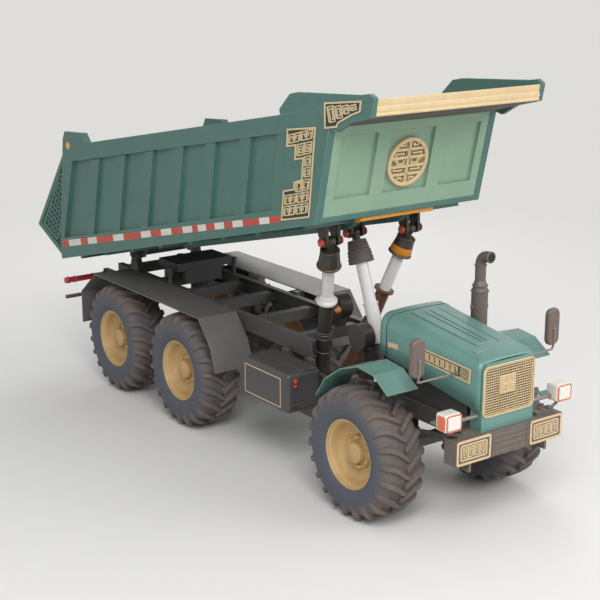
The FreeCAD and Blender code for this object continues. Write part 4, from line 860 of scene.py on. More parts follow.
def makeRearWing(sideName, side):
    wall = bed["wall"]
    opening = rearWing["opening"]
    out = across * side
    # a dark sheet in the wall's opening, painted shade
    pit = prism("rearPit_" + sideName, opening, onBed(side * (wall - 0.003)), out * 0.006, 0.0)
    finishPiece(pit, "bed", "seamShade", "paint_green")
    middle = sum((Vector(point) for point in opening), Vector((0, 0))) / len(opening)
    paths = []
    for angle in rearWing["ways"]:
        way = Vector((math.cos(angle), math.sin(angle)))
        square = Vector((-way.y, way.x))
        for index in range(-12, 13):
            for first, second in insideSpans(opening, middle + square * rearWing["pitch"] * index, way):
                paths.append([tuple(first), tuple(second)])
    lattice = strips("lattice", paths, rearWing["bar"], onBed(side * wall), out * 0.022, 0.003)
    rimBar = strips("wingRim", [closed(opening)], rearWing["rim"], onBed(side * (wall - 0.004)),
                    out * 0.034, 0.008)
    edgeBar = strips("wingEdge", [rearWing["edge"]], rearWing["edgeWidth"], onBed(side * (wall - 0.01)),
                     out * 0.055, 0.012)
    # the lattice's green carries painted shade
    joinAndFinish("rearLattice_" + sideName, [lattice, rimBar, edgeBar], "bed", "bedPaintPaintedShade", "paint_green")
    marker = lathe("rearMarker_" + sideName, rearWing["marker"],
                   bedPoint(*rearWing["markerAt"], side * bed["skin"]), out, 24)
    finishPiece(marker, "bed", "lensAmber", "lamp_white")


for sideName, side in sides:
    makeSideFret("cornerFret_" + sideName, cornerFret, side)
    makeSideFret("wingFret_" + sideName, wingFret, side)
    makeStripe(sideName, side)
    makeRearWing(sideName, side)
print("bed's sides trimmed")

# the headboard's own plane: y across, s up along the leaning face
faceUp = (alongBed * bed["lean"] + upBed).normalized()
faceOut = (alongBed - upBed * bed["lean"]).normalized()
faceStretch = math.hypot(1, bed["lean"])
medallion = {
    "middle": (-0.02, 0.552), "ring": 0.272, "steps": 64, "sunk": 0.047, "stands": 0.062, "upright": 0.262,
    # the level bars by height and half width, and the small hooks of the right upper quarter
    "bars": ((0.150, 0.205), (0.052, 0.245)),
    "hooks": ([(0.060, 0.225), (0.060, 0.195), (0.120, 0.195), (0.120, 0.225)],
              [(0.060, 0.100), (0.190, 0.100), (0.190, 0.070)]),
    "clasp": [(0.055, 0.022), (0.055, -0.022), (0.150, -0.022), (0.150, 0.020), (0.205, 0.020)],
}


def makeMedallion():
    y0, v0 = medallion["middle"]
    middle = bedPoint(bed["front"], 0, y0) + faceUp * (v0 * faceStretch)

    def place(y, s):
        return middle + across * y + faceUp * s - faceOut * medallion["sunk"]
    turns = [math.tau * index / medallion["steps"] for index in range(medallion["steps"])]
    circle = [(medallion["ring"] * math.cos(turn), medallion["ring"] * math.sin(turn)) for turn in turns]
    out = faceOut * medallion["stands"]
    rimRing = strips("medallionRing", [closed(circle)], 0.046, place, out, 0.008)
    bars = [[(0, -medallion["upright"]), (0, medallion["upright"])]]
    upper = medallion["bars"]
    for level, half in upper + tuple((-level, half) for level, half in upper[::-1]):
        bars.append([(-half, level), (half, level)])
    cross = strips("medallionBars", bars, 0.034, place, out * 0.86, 0.005)
    hooks = []
    for sign in (-1, 1):
        for hook in medallion["hooks"]:
            hooks += [[(sign * y, turned * s) for y, s in hook] for turned in (1, -1)]
        hooks.append([(sign * y, s) for y, s in medallion["clasp"]])
    fret = strips("medallionFret", hooks, 0.020, place, out * 0.74, 0.003)
    joinAndFinish("medallion", [rimRing, cross, fret], "bed", "trimCream", "trim_cream")


makeMedallion()

# outlines in the bed's side view, each drawn out from one side of the truck to the other
board = {
    "front": [(7.812, 1.016), (7.874, 1.012), (7.884, 1.030), (7.878, 1.042), (7.890, 1.058), (7.902, 1.100),
              (7.898, 1.112), (7.908, 1.124), (7.926, 1.168), (7.930, 1.186), (7.840, 1.190), (7.826, 1.110)],
    "line": [(7.888, 1.062), (7.896, 1.062), (7.902, 1.078), (7.894, 1.078)],
    "lining": [(7.130, 1.000), (7.800, 1.010), (7.800, 1.018), (7.130, 1.012)],
    "bar": [(6.452, -0.046), (6.540, -0.046), (6.552, -0.038), (6.552, 0.002), (6.440, 0.002),
            (6.440, -0.036)],
    "half": 1.176, "barHalf": 0.55,
}


def crossBed(name, outline, half, bevel, segments=2):
    return prism(name, outline, onBed(-half), across * 2 * half, bevel, segments)


def makeBoard():
    half = board["half"]
    moulding = crossBed("canopyBoard", board["front"], half, 0.004)
    line = crossBed("boardLine", board["line"], half, 0.001, 1)
    joinAndFinish("canopyBoard", [moulding, line], "bed", "trimCream", "trim_cream")
    finishPiece(crossBed("canopyLining", board["lining"], half, 0.001, 1), "bed", "bootGrey", "mirror_brown")
    finishPiece(crossBed("frontBar", board["bar"], board["barHalf"], 0.004), "bed", "barAmber", "trim_cream")


makeBoard()
print("bed's front trimmed")

bonnet = {
    "rear": 2.9284, "front": 4.4484, "half": (0.508, 0.434), "top": (2.263, 2.069), "low": (1.773, 1.500),
    "shoulder": (0.155, 0.125), "turns": 8, "skin": 0.006, "crown": 0.010,
    # how far the skin draws in along its length, with an edge that rolls over at the front
    "stations": [(0.0, 0.001), (0.020, 0.0), (0.25, 0.0), (0.50, 0.0), (0.75, 0.0), (0.968, 0.0),
                 (0.990, 0.003), (1.006, 0.010), (1.016, 0.018), (1.0205, 0.027), (1.0225, 0.036)],
}


def bonnetSize(key, x):
    rear, front = bonnet[key]
    return rear + (front - rear) * (x - bonnet["rear"]) / (bonnet["front"] - bonnet["rear"])


def bonnetRing(x, inset):
    # the skin's section at one place along the bonnet, from the left edge over the top to the right
    half = bonnetSize("half", x) - inset
    top = bonnetSize("top", x) - inset
    low = bonnetSize("low", x)
    radius = bonnetSize("shoulder", x)
    ring = [(half, low), (half, (low + top - radius) / 2)]
    for index in range(bonnet["turns"] + 1):
        angle = math.pi / 2 * index / bonnet["turns"]
        ring.append((half - radius + radius * math.cos(angle),
                     top - radius - bonnet["crown"] + radius * math.sin(angle)))
    ring.append((half * 0.33, top - bonnet["crown"] * 0.2))
    full = ring + [(0.0, top)] + [(-y, z) for y, z in ring[::-1]]
    return [(x, y, z) for y, z in full]


def thicken(piece, thickness, offset):
    solid = piece.modifiers.new("skin", "SOLIDIFY")
    solid.thickness = thickness
    solid.offset = offset
    return piece


def makeBonnet():
    build = bmesh.new()
    rows = []
    for share, inset in bonnet["stations"]:
        x = bonnet["rear"] + (bonnet["front"] - bonnet["rear"]) * share
        rows.append([build.verts.new(point) for point in bonnetRing(x, inset)])
    for first, second in zip(rows, rows[1:]):
        for index in range(len(first) - 1):
            build.faces.new((first[index], first[index + 1], second[index + 1], second[index]))
    bmesh.ops.recalc_face_normals(build, faces=build.faces)
    if sum(face.normal.z * face.calc_area() for face in build.faces) < 0:
        bmesh.ops.reverse_faces(build, faces=build.faces)
    piece = thicken(meshPiece("bonnetSkin", build), bonnet["skin"], -1)
    soften(piece, 0.0, smooth=38)
    finishPiece(piece, "bonnet", "bonnetPaint", "paint_green", "bonnet")


def onTop(lift):
    def place(x, y):
        drop = bonnet["crown"] * min(abs(y) / 0.3, 1) * 0.6
        return Vector((x, y, bonnetSize("top", x) - drop + lift))
    return place


def onBonnetSide(side, lift):
    return lambda x, z: Vector((x, side * (bonnetSize("half", x) + lift), z))


def onLevel(z):
    return lambda x, y: Vector((x, y, z))


def facing(x):
    return lambda y, z: Vector((x, y, z))


def spread(side, inner, outer):
    # a stretch on one side of the truck, from its lower end to its upper
    return sorted((side * inner, side * outer))


def roundedOutline(left, low, right, high, radius, steps=6):
    outline = []
    for cornerX, cornerY, start in ((right - radius, low + radius, -90), (right - radius, high - radius, 0),
                                    (left + radius, high - radius, 90), (left + radius, low + radius, 180)):
        for index in range(steps + 1):
            angle = math.radians(start + 90 * index / steps)
            outline.append((cornerX + radius * math.cos(angle), cornerY + radius * math.sin(angle)))
    return outline


def evenly(low, high, count):
    # places spread evenly between two ends, without the ends
    return [low + (high - low) * (index + 1) / (count + 1) for index in range(count)]


upright = Vector((0, 0, 1))
ahead = Vector((1, 0, 0))
topPanels = {
    # the ridge by its two ends and their half widths, and the bar across the front
    "ridge": [(3.10, 0.19), (4.14, 0.150)], "cross": (4.205, 4.300, 0.31), "taper": 0.97, "thick": 0.010,
    "sunk": 0.004, "groove": 0.009, "fineGroove": 0.0063, "fine": [(3.15, 0.045), (4.10, 0.035)],
    "beside": 0.014, "hook": (0.030, 0.020), "seam": 3.032, "seamLift": 0.0015, "seamDepth": 0.003,
}


def makeBonnetTop():
    thick = topPanels["thick"]
    (rearX, rearY), (frontX, frontY) = topPanels["ridge"]
    ridge = prism("ridge", [(rearX, -rearY), (frontX, -frontY), (frontX, frontY), (rearX, rearY)],
                  onTop(-topPanels["sunk"]), upright * thick, 0.006)
    start, end, half = topPanels["cross"]
    endHalf = half * topPanels["taper"]
    bar = prism("crossPanel", [(start, -half), (end, -endHalf), (end, endHalf), (start, half)],
                onTop(-topPanels["sunk"]), upright * thick * 0.9, 0.005)
    joinAndFinish("bonnetRidge", [ridge, bar], "bonnet", "bonnetPaint", "paint_green")
    # the grooves and the seam are dark strips, painted shade
    beside, (hookX, hookY) = topPanels["beside"], topPanels["hook"]
    grooves = [[(rearX, sign * (rearY + beside)), (frontX + 0.012, sign * (frontY + beside)),
                (frontX + hookX, sign * (frontY - hookY))] for sign in (-1, 1)]
    fine = [[(x, sign * y) for x, y in topPanels["fine"]] for sign in (-1, 1)]
    lines = [strips("topGroove", grooves, topPanels["groove"], onTop(-0.003), upright * 0.005, 0.0),
             strips("ridgeGroove", fine, topPanels["fineGroove"], onTop(thick - 0.006), upright * 0.003, 0.0)]
    build = bmesh.new()
    width = topPanels["groove"] / 2
    last = None
    for x, y, z in bonnetRing(topPanels["seam"], -topPanels["seamLift"]):
        pair = (build.verts.new((x - width, y, z)), build.verts.new((x + width, y, z)))
        if last:
            build.faces.new((last[0], last[1], pair[1], pair[0]))
        last = pair
    seam = soften(thicken(meshPiece("bonnetSeam", build), topPanels["seamDepth"], 0), 0.0)
    joinAndFinish("bonnetLines", lines + [seam], "bonnet", "seamShade", "paint_green")


sideFret = {
    "outline": [(3.600, 1.997), (4.362, 1.936), (4.352, 1.790), (3.600, 1.862)], "frame": 0.016,
    # drawn in a plain box from (0, 0) to (1, 1): the spirals' box, and the slats ahead of them
    "spirals": (0.035, 0.20, 0.750, 0.80, 7, 0.022, 0.020), "bar": 0.0085,
    "slats": (0.18, 0.34, 0.50, 0.66, 0.82), "slatEnds": (0.80, 0.975), "slat": 0.008,
    "badge": (3.066, 1.880, 3.226, 1.938), "rise": 0.004, "ticks": 5, "tickPitch": 0.03,
}


def makeBonnetSide(sideName, side):
    out = across * side
    place = onBonnetSide(side, 0.0)
    outline = sideFret["outline"]
    # a dark sheet behind the side fret, painted shade
    pit = prism("bonnetPit_" + sideName, outline, onBonnetSide(side, -0.003), out * 0.006, 0.0)
    finishPiece(pit, "bonnet", "seamShade", "paint_green")
    border = strips("sideFrame", [closed(outline)], sideFret["frame"], place, out * 0.014, 0.003)
    (rearX, rearHigh), (frontX, frontHigh), (lowX, frontLow), (_, rearLow) = outline

    def leanIn(path):
        # a path drawn in the plain box is fitted between the panel's two long edges
        fitted = []
        for share, rise in path:
            x = rearX + (frontX - rearX) * share
            high = rearHigh + (frontHigh - rearHigh) * (x - rearX) / (frontX - rearX)
            low = rearLow + (frontLow - rearLow) * (x - rearX) / (lowX - rearX)
            fitted.append((x, low + (high - low) * rise))
        return fitted
    paths = [leanIn(path) for path in fretRow(*sideFret["spirals"])]
    bars = strips("sideBars", paths, sideFret["bar"], place, out * 0.010, 0.0)
    slats = [leanIn([(share, rise) for share in sideFret["slatEnds"]]) for rise in sideFret["slats"]]
    slatBars = strips("sideSlats", slats, sideFret["slat"], place, out * 0.009, 0.0)
    left, low, right, high = sideFret["badge"]
    rise = sideFret["rise"]
    plate = prism("sideBadge", [(left, low), (right, low + rise), (right, high + rise), (left, high)], place,
                  out * 0.008, 0.002)
    starts = [left + 0.02 + sideFret["tickPitch"] * index for index in range(sideFret["ticks"])]
    marks = [[(x, low + 0.018), (x, high - 0.012)] for x in starts]
    ticks = strips("badgeTicks", marks, 0.010, onBonnetSide(side, 0.006), out * 0.004, 0.0)
    joinAndFinish("bonnetFret_" + sideName, [border, bars, slatBars, plate, ticks], "bonnet", "trimCream",
                  "trim_cream")


makeBonnet()
makeBonnetTop()
for sideName, side in sides:
    makeBonnetSide(sideName, side)
print("bonnet made")

grille = {
    "half": 0.386, "low": 1.404, "high": 1.990, "corner": 0.075, "front": 4.5144, "rows": 19, "columns": 27,
    "row": 0.0082, "wire": 0.0034, "frame": (0.012, 0.065, 0.017), "inner": (0.034, 0.045, 0.006),
    "badge": (-0.025, 1.748, 0.115, 0.105), "badgePitch": 0.028, "badgeBar": 0.013,
}


def insetOutline(key):
    # the grille's outline drawn in, closed, with the width of the bar that runs along it
    half, low, high = (grille[key] for key in ("half", "low", "high"))
    inset, corner, width = grille[key]
    return closed(roundedOutline(-half + inset, low + inset, half - inset, high - inset, corner)), width


def makeGrille():
    front = grille["front"]
    half, low, high, corner = (grille[key] for key in ("half", "low", "high", "corner"))
    # a dark sheet behind the grille, painted shade
    back = prism("grilleBack", roundedOutline(-half, low, half, high, corner), facing(front - 0.060),
                 ahead * 0.006, 0.0)
    finishPiece(back, "chassis", "paintedShadeDark", "frame_grey")
    path, width = insetOutline("frame")
    border = strips("grilleFrame", [path], width, facing(front - 0.020), ahead * 0.022, 0.004)
    path, width = insetOutline("inner")
    inner = strips("grilleInner", [path], width, facing(front - 0.024), ahead * 0.018, 0.0)
    rows = [[(-half + 0.02, z), (half - 0.02, z)] for z in evenly(low, high, grille["rows"])]
    uprights = [[(y, low + 0.02), (y, high - 0.02)] for y in evenly(-half, half, grille["columns"])]
    bars = strips("grilleRows", rows, grille["row"], facing(front - 0.022), ahead * 0.010, 0.0)
    wires = strips("grilleWires", uprights, grille["wire"], facing(front - 0.030), ahead * 0.010, 0.0)
    joinAndFinish("grilleMesh", [bars, wires, border, inner], "chassis", "trimCream", "trim_cream", "grille")
    y0, z0, wide, tall = grille["badge"]
    plate = prism("badgePlate", roundedOutline(y0 - wide, z0 - tall, y0 + wide, z0 + tall, 0.012, 2),
                  facing(front - 0.018), ahead * 0.016, 0.003)
    paths = []
    for left, mirrored in ((y0 - wide + 0.014, False), (y0 + 0.008, True)):
        for bottom in (z0 - tall + 0.014, z0 + 0.006):
            paths.append(squareSpiral(left, bottom, left + wide - 0.022, bottom + tall - 0.020,
                                      grille["badgePitch"], mirrored))
    fret = strips("badgeFret", paths, grille["badgeBar"], facing(front - 0.004), ahead * 0.012, 0.002)
    joinAndFinish("grilleBadge", [plate, fret], "chassis", "trimCream", "trim_cream")


makeGrille()

bumper = {
    "front": 4.5734, "plate": (0.296, 0.974, 0.792, 1.250), "corner": 0.018,
    # the two frames on a plate: how far in, how wide and how high they stand
    "frames": ((0.013, 0.026, 0.0120), (0.062, 0.018, 0.0100)),
    "fretInset": (0.090, 0.082), "spirals": 4, "pitch": 0.022, "bar": 0.011,
    "ribs": (0.262, 1.010, 1.205, 4), "padY": 0.66, "padShift": 0.055, "padHalf": 0.036,
    "padX": (4.385, 4.475), "padZ": (1.284, 1.302),
}


def makeBumperTrim():
    front = bumper["front"]
    cream, pits, ribs = [], [], []
    inner, low, outer, high = bumper["plate"]
    for side in (1, -1):
        left, right = spread(side, inner, outer)
        pits.append(prism("platePit", [(left, low), (right, low), (right, high), (left, high)],
                          facing(front - 0.0140), ahead * 0.006, 0.0))
        for inset, width, rise in bumper["frames"]:
            outline = roundedOutline(left + inset, low + inset * 0.9, right - inset, high - inset * 0.9,
                                     bumper["corner"], 3)
            cream.append(strips("plateFrame", [closed(outline)], width, facing(front - 0.0130), ahead * rise,
                                0.002))
        insetY, insetZ = bumper["fretInset"]
        paths = fretRow(left + insetY, low + insetZ, right - insetY, high - insetZ, bumper["spirals"],
                        bumper["pitch"])
        cream.append(strips("plateFret", paths, bumper["bar"], facing(front - 0.0100), ahead * 0.0070, 0.0))
    joinAndFinish("bumperFret", cream, "chassis", "trimCream", "trim_cream")
    joinAndFinish("bumperPits", pits, "chassis", "mirrorBrown", "bumper_grey")
    half, low, high, count = bumper["ribs"]
    rear = front - 0.020
    for index in range(count):
        z = low + (high - low) * index / (count - 1)
        ribs.append(softBox("bumperRib", (rear, -half + 0.02, z - 0.020),
                            (front - 0.004, half - 0.02, z + 0.016), 0.007))
    for y in (-half, half):
        ribs.append(softBox("bumperPost", (rear, y - 0.014, low - 0.03),
                            (front - 0.002, y + 0.014, high + 0.02), 0.005))
    (padRear, padFront), (padLow, padHigh) = bumper["padX"], bumper["padZ"]
    for y in (-bumper["padY"], bumper["padY"]):
        for middle in (y - bumper["padShift"], y + bumper["padShift"]):
            ribs.append(softBox("bumperPad", (padRear, middle - bumper["padHalf"], padLow),
                                (padFront, middle + bumper["padHalf"], padHigh), 0.006))
    joinAndFinish("bumperRibs", ribs, "chassis", "bumperGrey", "bumper_grey")


makeBumperTrim()

lamp = {
    "rear": 4.3744, "front": 4.5644, "inner": 0.716, "outer": 0.944, "low": 1.374, "high": 1.578,
    "arm": (0.405, 0.55, 0.735), "armRadius": 0.024, "footRadius": 0.018, "footY": 0.826, "footEnd": 1.288,
    "cup": [(0, -0.004), (0.040, -0.004), (0.052, 0.006), (0.052, 0.020), (0, 0.020)],
    "plateRear": 4.225, "plate": (0.700, 0.880),
}


def makeLamps():
    rear, front, low, high = (lamp[key] for key in ("rear", "front", "low", "high"))
    inner, outer = lamp["inner"], lamp["outer"]
    shells, glows, rims, arms, plates = [], [], [], [], []
    for side in (1, -1):
        left, right = spread(side, inner, outer)
        shells.append(softBox("lampShell", (rear, left, low), (front - 0.012, right, high), 0.034, 4))
        lens = roundedOutline(left + 0.026, low + 0.026, right - 0.026, high - 0.028, 0.020, 4)
        shells.append(prism("lampLens", lens, facing(front - 0.016), ahead * 0.014, 0.005))
        frameLine = roundedOutline(left + 0.014, low + 0.012, right - 0.014, high - 0.014, 0.026, 4)
        rims.append(strips("lampFrame", [closed(frameLine)], 0.011, facing(front - 0.016), ahead * 0.012,
                           0.003))
        edge = side * (outer - 0.004)

        def sideways(x, z, edge=edge):
            return Vector((x, edge, z))
        glow = roundedOutline(rear + 0.052, low + 0.030, front - 0.044, high - 0.034, 0.016, 3)
        glows.append(prism("lampSide", glow, sideways, across * side * 0.0065, 0.001, 1))
        sideLine = roundedOutline(rear + 0.044, low + 0.022, front - 0.036, high - 0.026, 0.020, 3)
        rims.append(strips("sideFrame", [closed(sideLine)], 0.009, sideways, across * side * 0.0080, 0.0))
        arm = [(rear + 0.07, side * y, low + 0.061) for y in lamp["arm"]]
        arms.append(pipe("lampArm", arm, lamp["armRadius"]))
        foot = side * lamp["footY"]
        arms.append(lathe("lampCup", lamp["cup"], (rear + 0.09, foot, low - 0.014), upright, 20))
        bend = [(rear + 0.09, foot, low - 0.008), (rear + 0.09, side * 0.80, low - 0.05),
                (rear + 0.06, side * 0.74, lamp["footEnd"])]
        arms.append(pipe("lampFoot", bend, lamp["footRadius"]))
    for side in (1, -1):
        left, right = spread(side, *lamp["plate"])
        plates.append(softBox("lampPlate", (lamp["plateRear"], left, low + 0.018),
                              (rear + 0.030, right, low + 0.034), 0.005))
    joinAndFinish("lampPlates", plates, "chassis", "fenderPaint", "paint_green")
    joinAndFinish("lampShells", shells, "chassis", "lensWhite", "lamp_white", "headlamps")
    joinAndFinish("lampSides", glows, "chassis", "lensOrange", "lamp_red")
    joinAndFinish("lampFrames", rims, "chassis", "lensOrange", "trim_cream")
    joinAndFinish("lampArms", arms, "chassis", "armGrey", "frame_grey")


makeLamps()

mirror = {
    "x": 4.1634, "y": 1.011, "low": 1.900, "high": 2.336, "half": 0.093, "corner": 0.078, "depth": 0.076,
    "arm": 1.850, "armRadius": 0.0125, "armEnds": (0.90, 0.446),
    "boss": [(0, 0.022), (0.018, 0.018), (0.026, 0.0), (0.026, -0.02), (0, -0.02)],
    "foot": [(0, 0.012), (0.022, 0.012), (0.028, 0.004), (0.028, -0.006), (0, -0.006)],
}


def makeMirrors():
    heads, arms = [], []
    x, low, high, level = (mirror[key] for key in ("x", "low", "high", "arm"))
    middle = (low + high) / 2 - 0.02
    for side in (1, -1):
        y = side * mirror["y"]
        outline = roundedOutline(y - mirror["half"], low, y + mirror["half"], high, mirror["corner"], 6)
        heads.append(prism("mirrorHead", outline, facing(x - 0.056), ahead * mirror["depth"], 0.028, 4))
        arms.append(lathe("mirrorBoss", mirror["boss"], (x + 0.020, y, middle), ahead, 18))
        stem = [(x + 0.024, y, middle), (x + 0.030, y, low + 0.06), (x + 0.004, y, low - 0.04),
                (x, y * 0.992, level)]
        stem += [(x, side * end, level) for end in mirror["armEnds"]]
        arms.append(pipe("mirrorStem", stem, mirror["armRadius"]))
        arms.append(lathe("mirrorFoot", mirror["foot"], (x, side * (bonnetSize("half", x) + 0.004), level),
                          (0, side, 0), 18))
    joinAndFinish("mirrorHeads", heads, "bonnet", "mirrorBrown", "mirror_brown", "mirrors")
    joinAndFinish("mirrorArms", arms, "bonnet", "armGrey", "mirror_brown")


makeMirrors()
print("front end made")

# profiles of what is turned about a ram: radius and place along its axis, in metres
ramTrim = {
    "steps": 56, "white": 0.36, "bands": (0.030, 0.085, 0.300), "band": (0.096, 0.106, 0.032, 0.006),
    "lip": [(0.0925, -0.001), (0.100, -0.001), (0.103, 0.010), (0.096, 0.016)],
    # each fold of the rubber boot: where it starts and how wide it is
    "folds": ((0.106, 0.118), (0.140, 0.126), (0.176, 0.132), (0.222, 0.145), (0.262, 0.149), (0.312, 0.156)),
    "bootEye": [(0.070, 0.098), (0.112, 0.100)],
    "bootFoot": [(0.154, 0.352), (0.160, 0.366), (0.158, 0.378), (0.144, 0.382), (0.080, 0.382)],
    "cupLip": [(0.1395, 0.330), (0.148, 0.336), (0.151, 0.346), (0.148, 0.357), (0.137, 0.360)],
    "cupShoulder": [(0.110, 0.114), (0.118, 0.120), (0.120, 0.136), (0.114, 0.144)],
    "cupBand": [(0.124, 0.238), (0.130, 0.240), (0.1405, 0.322), (0.138, 0.326)],
    # from the ring of the right ram
    "flange": [(0.120, -0.010), (0.131, -0.004), (0.133, 0.010), (0.131, 0.020)],
    "collar": [(0.0765, -0.075), (0.088, -0.060), (0.094, -0.024), (0.120, -0.006)],
    # each ball fitting: which way it points, how far it hangs below the ring, and its radius
    "balls": ((-0.95, -0.10, 0.092, 0.040), (0.86, 0.45, 0.100, 0.043)), "ballSteps": 12, "ballOut": 0.152,
    "ballRim": [(0.98, -0.006), (1.08, -0.003), (1.08, 0.004), (0.98, 0.007)], "stubRadius": 0.016,
    "dark": 0.024,
}


def turnedBand(inner, outer, low, high, edge):
    # a raised band round a tube, with sloping edges
    return [(inner, low), (outer, low + edge), (outer, high - edge), (inner, high)]


def halfCircle(radius, steps):
    # from pole to pole, as the distance out and the distance along
    angles = [math.pi * step / steps for step in range(steps + 1)]
    return [(radius * math.sin(angle), -radius * math.cos(angle)) for angle in angles]


def moved(profile, along):
    return [(radius, place + along) for radius, place in profile]


def ramLathe(name, ram, profile, steps=ramTrim["steps"]):
    return lathe(name, profile, ram["eye"], ramAxis(ram), steps)


def paintBelow(node, material, ram, distance):
    # the part of a node that lies further from the ram's eye than the distance
    eye, axis = Vector(ram["eye"]), ramAxis(ram)
    paintFaces(dressed[node], material, lambda point: (point - eye).dot(axis) > distance)


def makeBalls(ram):
    # the two ball fittings hang clear of the barrel that slides up inside them
    balls, stubs = [], []
    ring, axis = ram["ring"], ramAxis(ram)
    for x, y, drop, size in ramTrim["balls"]:
        way = Vector((x, y, 0))
        way = (way - axis * way.dot(axis)).normalized()
        root = alongRam(ram, ring + 0.018) + way * 0.124
        bend = alongRam(ram, ring + 0.050) + way * 0.134
        seat = alongRam(ram, ring + drop) + way * ramTrim["ballOut"]
        stubs.append(pipe("ballStub", [root, bend, seat], ramTrim["stubRadius"]))
        balls.append(lathe("ballCap", halfCircle(size, ramTrim["ballSteps"]), seat, way, 24))
        rimLine = [(size * share, along) for share, along in ramTrim["ballRim"]]
        balls.append(lathe("ballRim", rimLine, seat, way, 24))
    joinAndFinish("ramBalls", balls, "ram_right_middle", "knobRust", "ram_white")
    joinAndFinish("ramStubs", stubs, "ram_right_middle", "ramBrown", "ram_white")


def makeRams():
    inner, outer, width, edge = ramTrim["band"]
    for name, ram in rams.items():
        paintBelow("ram_%s_head" % name, "ramWhite", ram, ramTrim["white"])
        band = moved(turnedBand(inner, outer, 0, width, edge), ram["barrel"])
        bands = [ramLathe("barrelBand", ram, moved(band, start), 40) for start in ramTrim["bands"]]
        bands.append(ramLathe("barrelLip", ram, moved(ramTrim["lip"], ram["barrel"]), 40))
        joinAndFinish("barrelBands_" + name, bands, "ram_%s_barrel" % name, "boxGrey", "ram_dark")
    boot = ramTrim["bootEye"]
    for start, wide in ramTrim["folds"]:
        boot = boot + [(wide - 0.006, start), (wide, start + 0.008), (wide + 0.001, start + 0.026),
                       (wide - 0.007, start + 0.033)]
    piece = ramLathe("ramBoot", rams["centre"], boot + ramTrim["bootFoot"])
    finishPiece(piece, "ram_centre_head", "bootGrey", "ram_dark")
    for name in ("left", "right"):
        for key, material in (("cupLip", "ramBrown"), ("cupShoulder", "ramDark")):
            piece = ramLathe(key, rams[name], ramTrim[key])
            finishPiece(piece, "ram_%s_head" % name, material, "ram_dark")
    piece = ramLathe("cupBand", rams["left"], ramTrim["cupBand"])
    finishPiece(piece, "ram_left_head", "barAmber", "ram_dark")
    right = rams["right"]
    flange = ramLathe("ramFlange", right, moved(ramTrim["flange"], right["ring"]))
    collar = ramLathe("ramCollar", right, moved(ramTrim["collar"], right["ring"]))
    joinAndFinish("ramFlanges", [flange, collar], "ram_right_middle", "ramWhite", "ram_white")
    makeBalls(right)
    paintBelow("ram_right_middle", "ramDark", right, right["ring"] + ramTrim["dark"])


pin = {"out": 0.150, "ear": 0.132, "earHalf": 0.020, "painted": 0.058,
       "cap": [(0, 0.018), (0.020, 0.018), (0.026, 0.012), (0.040, 0.012), (0.048, 0.006), (0.050, 0.0),
               (0.050, -0.010), (0, -0.010)]}


def makePins():
    caps = []
    for ram in rams.values():
        for side in (-1, 1):
            caps.append(lathe("pinCap", pin["cap"], Vector(ram["eye"]) + across * side * pin["out"],
                              across * side, 28))
    joinAndFinish("pinCaps", caps, "bed", "pinRed", "ram_dark")

    def nearPin(point):
        # on one of the ears' round plates, close to its pin
        for x, y, z in (ram["eye"] for ram in rams.values()):
            onPlate = abs(abs(point.y - y) - pin["ear"]) < pin["earHalf"]
            if onPlate and math.hypot(point.x - x, point.z - z) < pin["painted"]:
                return True
        return False
    paintFaces(dressed["hoist_ears"], "pinRed", nearPin)


makeRams()
makePins()
print("rams made")

exhaust = {
    "x": 3.3644, "y": 0.615, "top": 2.450, "bend": 0.110, "pipe": 0.064, "elbow": 2.746,
    # beads low on the silencer: height, radius and size
    "beads": ((1.640, 0.096, 0.007), (1.900, 0.0965, 0.006)), "beadSteps": 6,
    "cone": [(0.0975, -0.004), (0.090, 0.012), (0.084, 0.018)], "tipLength": 0.060,
    "neck": [(0.0835, 0.056), (0.074, 0.080), (0.0645, 0.105)],
    # from the pipe's radius and its end
    "tip": [(-0.001, -0.022), (0.005, -0.018), (0.006, -0.004), (0.002, 0.0), (-0.010, -0.002),
            (-0.012, -0.004)],
    "straps": (1.700, 2.250), "strap": (0.097, 0.103, 0.020, 0.002),
}


def makeExhaustTrim():
    x, y, top, radius = (exhaust[key] for key in ("x", "y", "top", "pipe"))
    base = (x, y, 0)
    beads = ((top - 0.018, 0.096, 0.010), (top + 0.046, 0.082, 0.010), *exhaust["beads"],
             (exhaust["elbow"] - 0.010, radius - 0.002, 0.009))
    rings = []
    for height, inner, bead in beads:
        bulge = [(inner + bead * 0.35 + out, along) for out, along in halfCircle(bead, exhaust["beadSteps"])]
        profile = moved([(inner, -bead)] + bulge + [(inner, bead)], height)
        rings.append(lathe("exhaustRing", profile, base, upright, 40))
    rings.append(lathe("exhaustCone", moved(exhaust["cone"], top), base, upright, 40))
    rings.append(lathe("exhaustNeck", moved(exhaust["neck"], top), base, upright, 40))
    end = exhaust["bend"] + exhaust["tipLength"]
    turn = (x, y, exhaust["elbow"] + exhaust["bend"])
    tip = [(radius + out, end + along) for out, along in exhaust["tip"]]
    rings.append(lathe("exhaustTip", tip, turn, ahead, 40))
    joinAndFinish("exhaustRings", rings, "chassis", "exhaustBrown", "exhaust_brown")
    inside = radius - 0.011
    # the exhaust's mouth is closed by a dark disc, painted shade
    mouth = [(0, end + 0.001), (inside, end + 0.001), (inside, end - 0.003), (0, end - 0.003)]
    finishPiece(lathe("exhaustMouth", mouth, turn, ahead, 32), "chassis", "paintedShadeDark", "exhaust_brown")
    straps = []
    inner, outer, half, edge = exhaust["strap"]
    for height in exhaust["straps"]:
        band = turnedBand(inner, outer, height - half, height + half, edge)
        straps.append(lathe("exhaustStrap", band, base, upright, 40))
        straps.append(softBox("strapLug", (x - 0.014, y - 0.135, height - 0.018),
                              (x + 0.014, y - 0.095, height + 0.018), 0.004))
    joinAndFinish("exhaustStraps", straps, "chassis", "mirrorBrown", "exhaust_brown")


makeExhaustTrim()

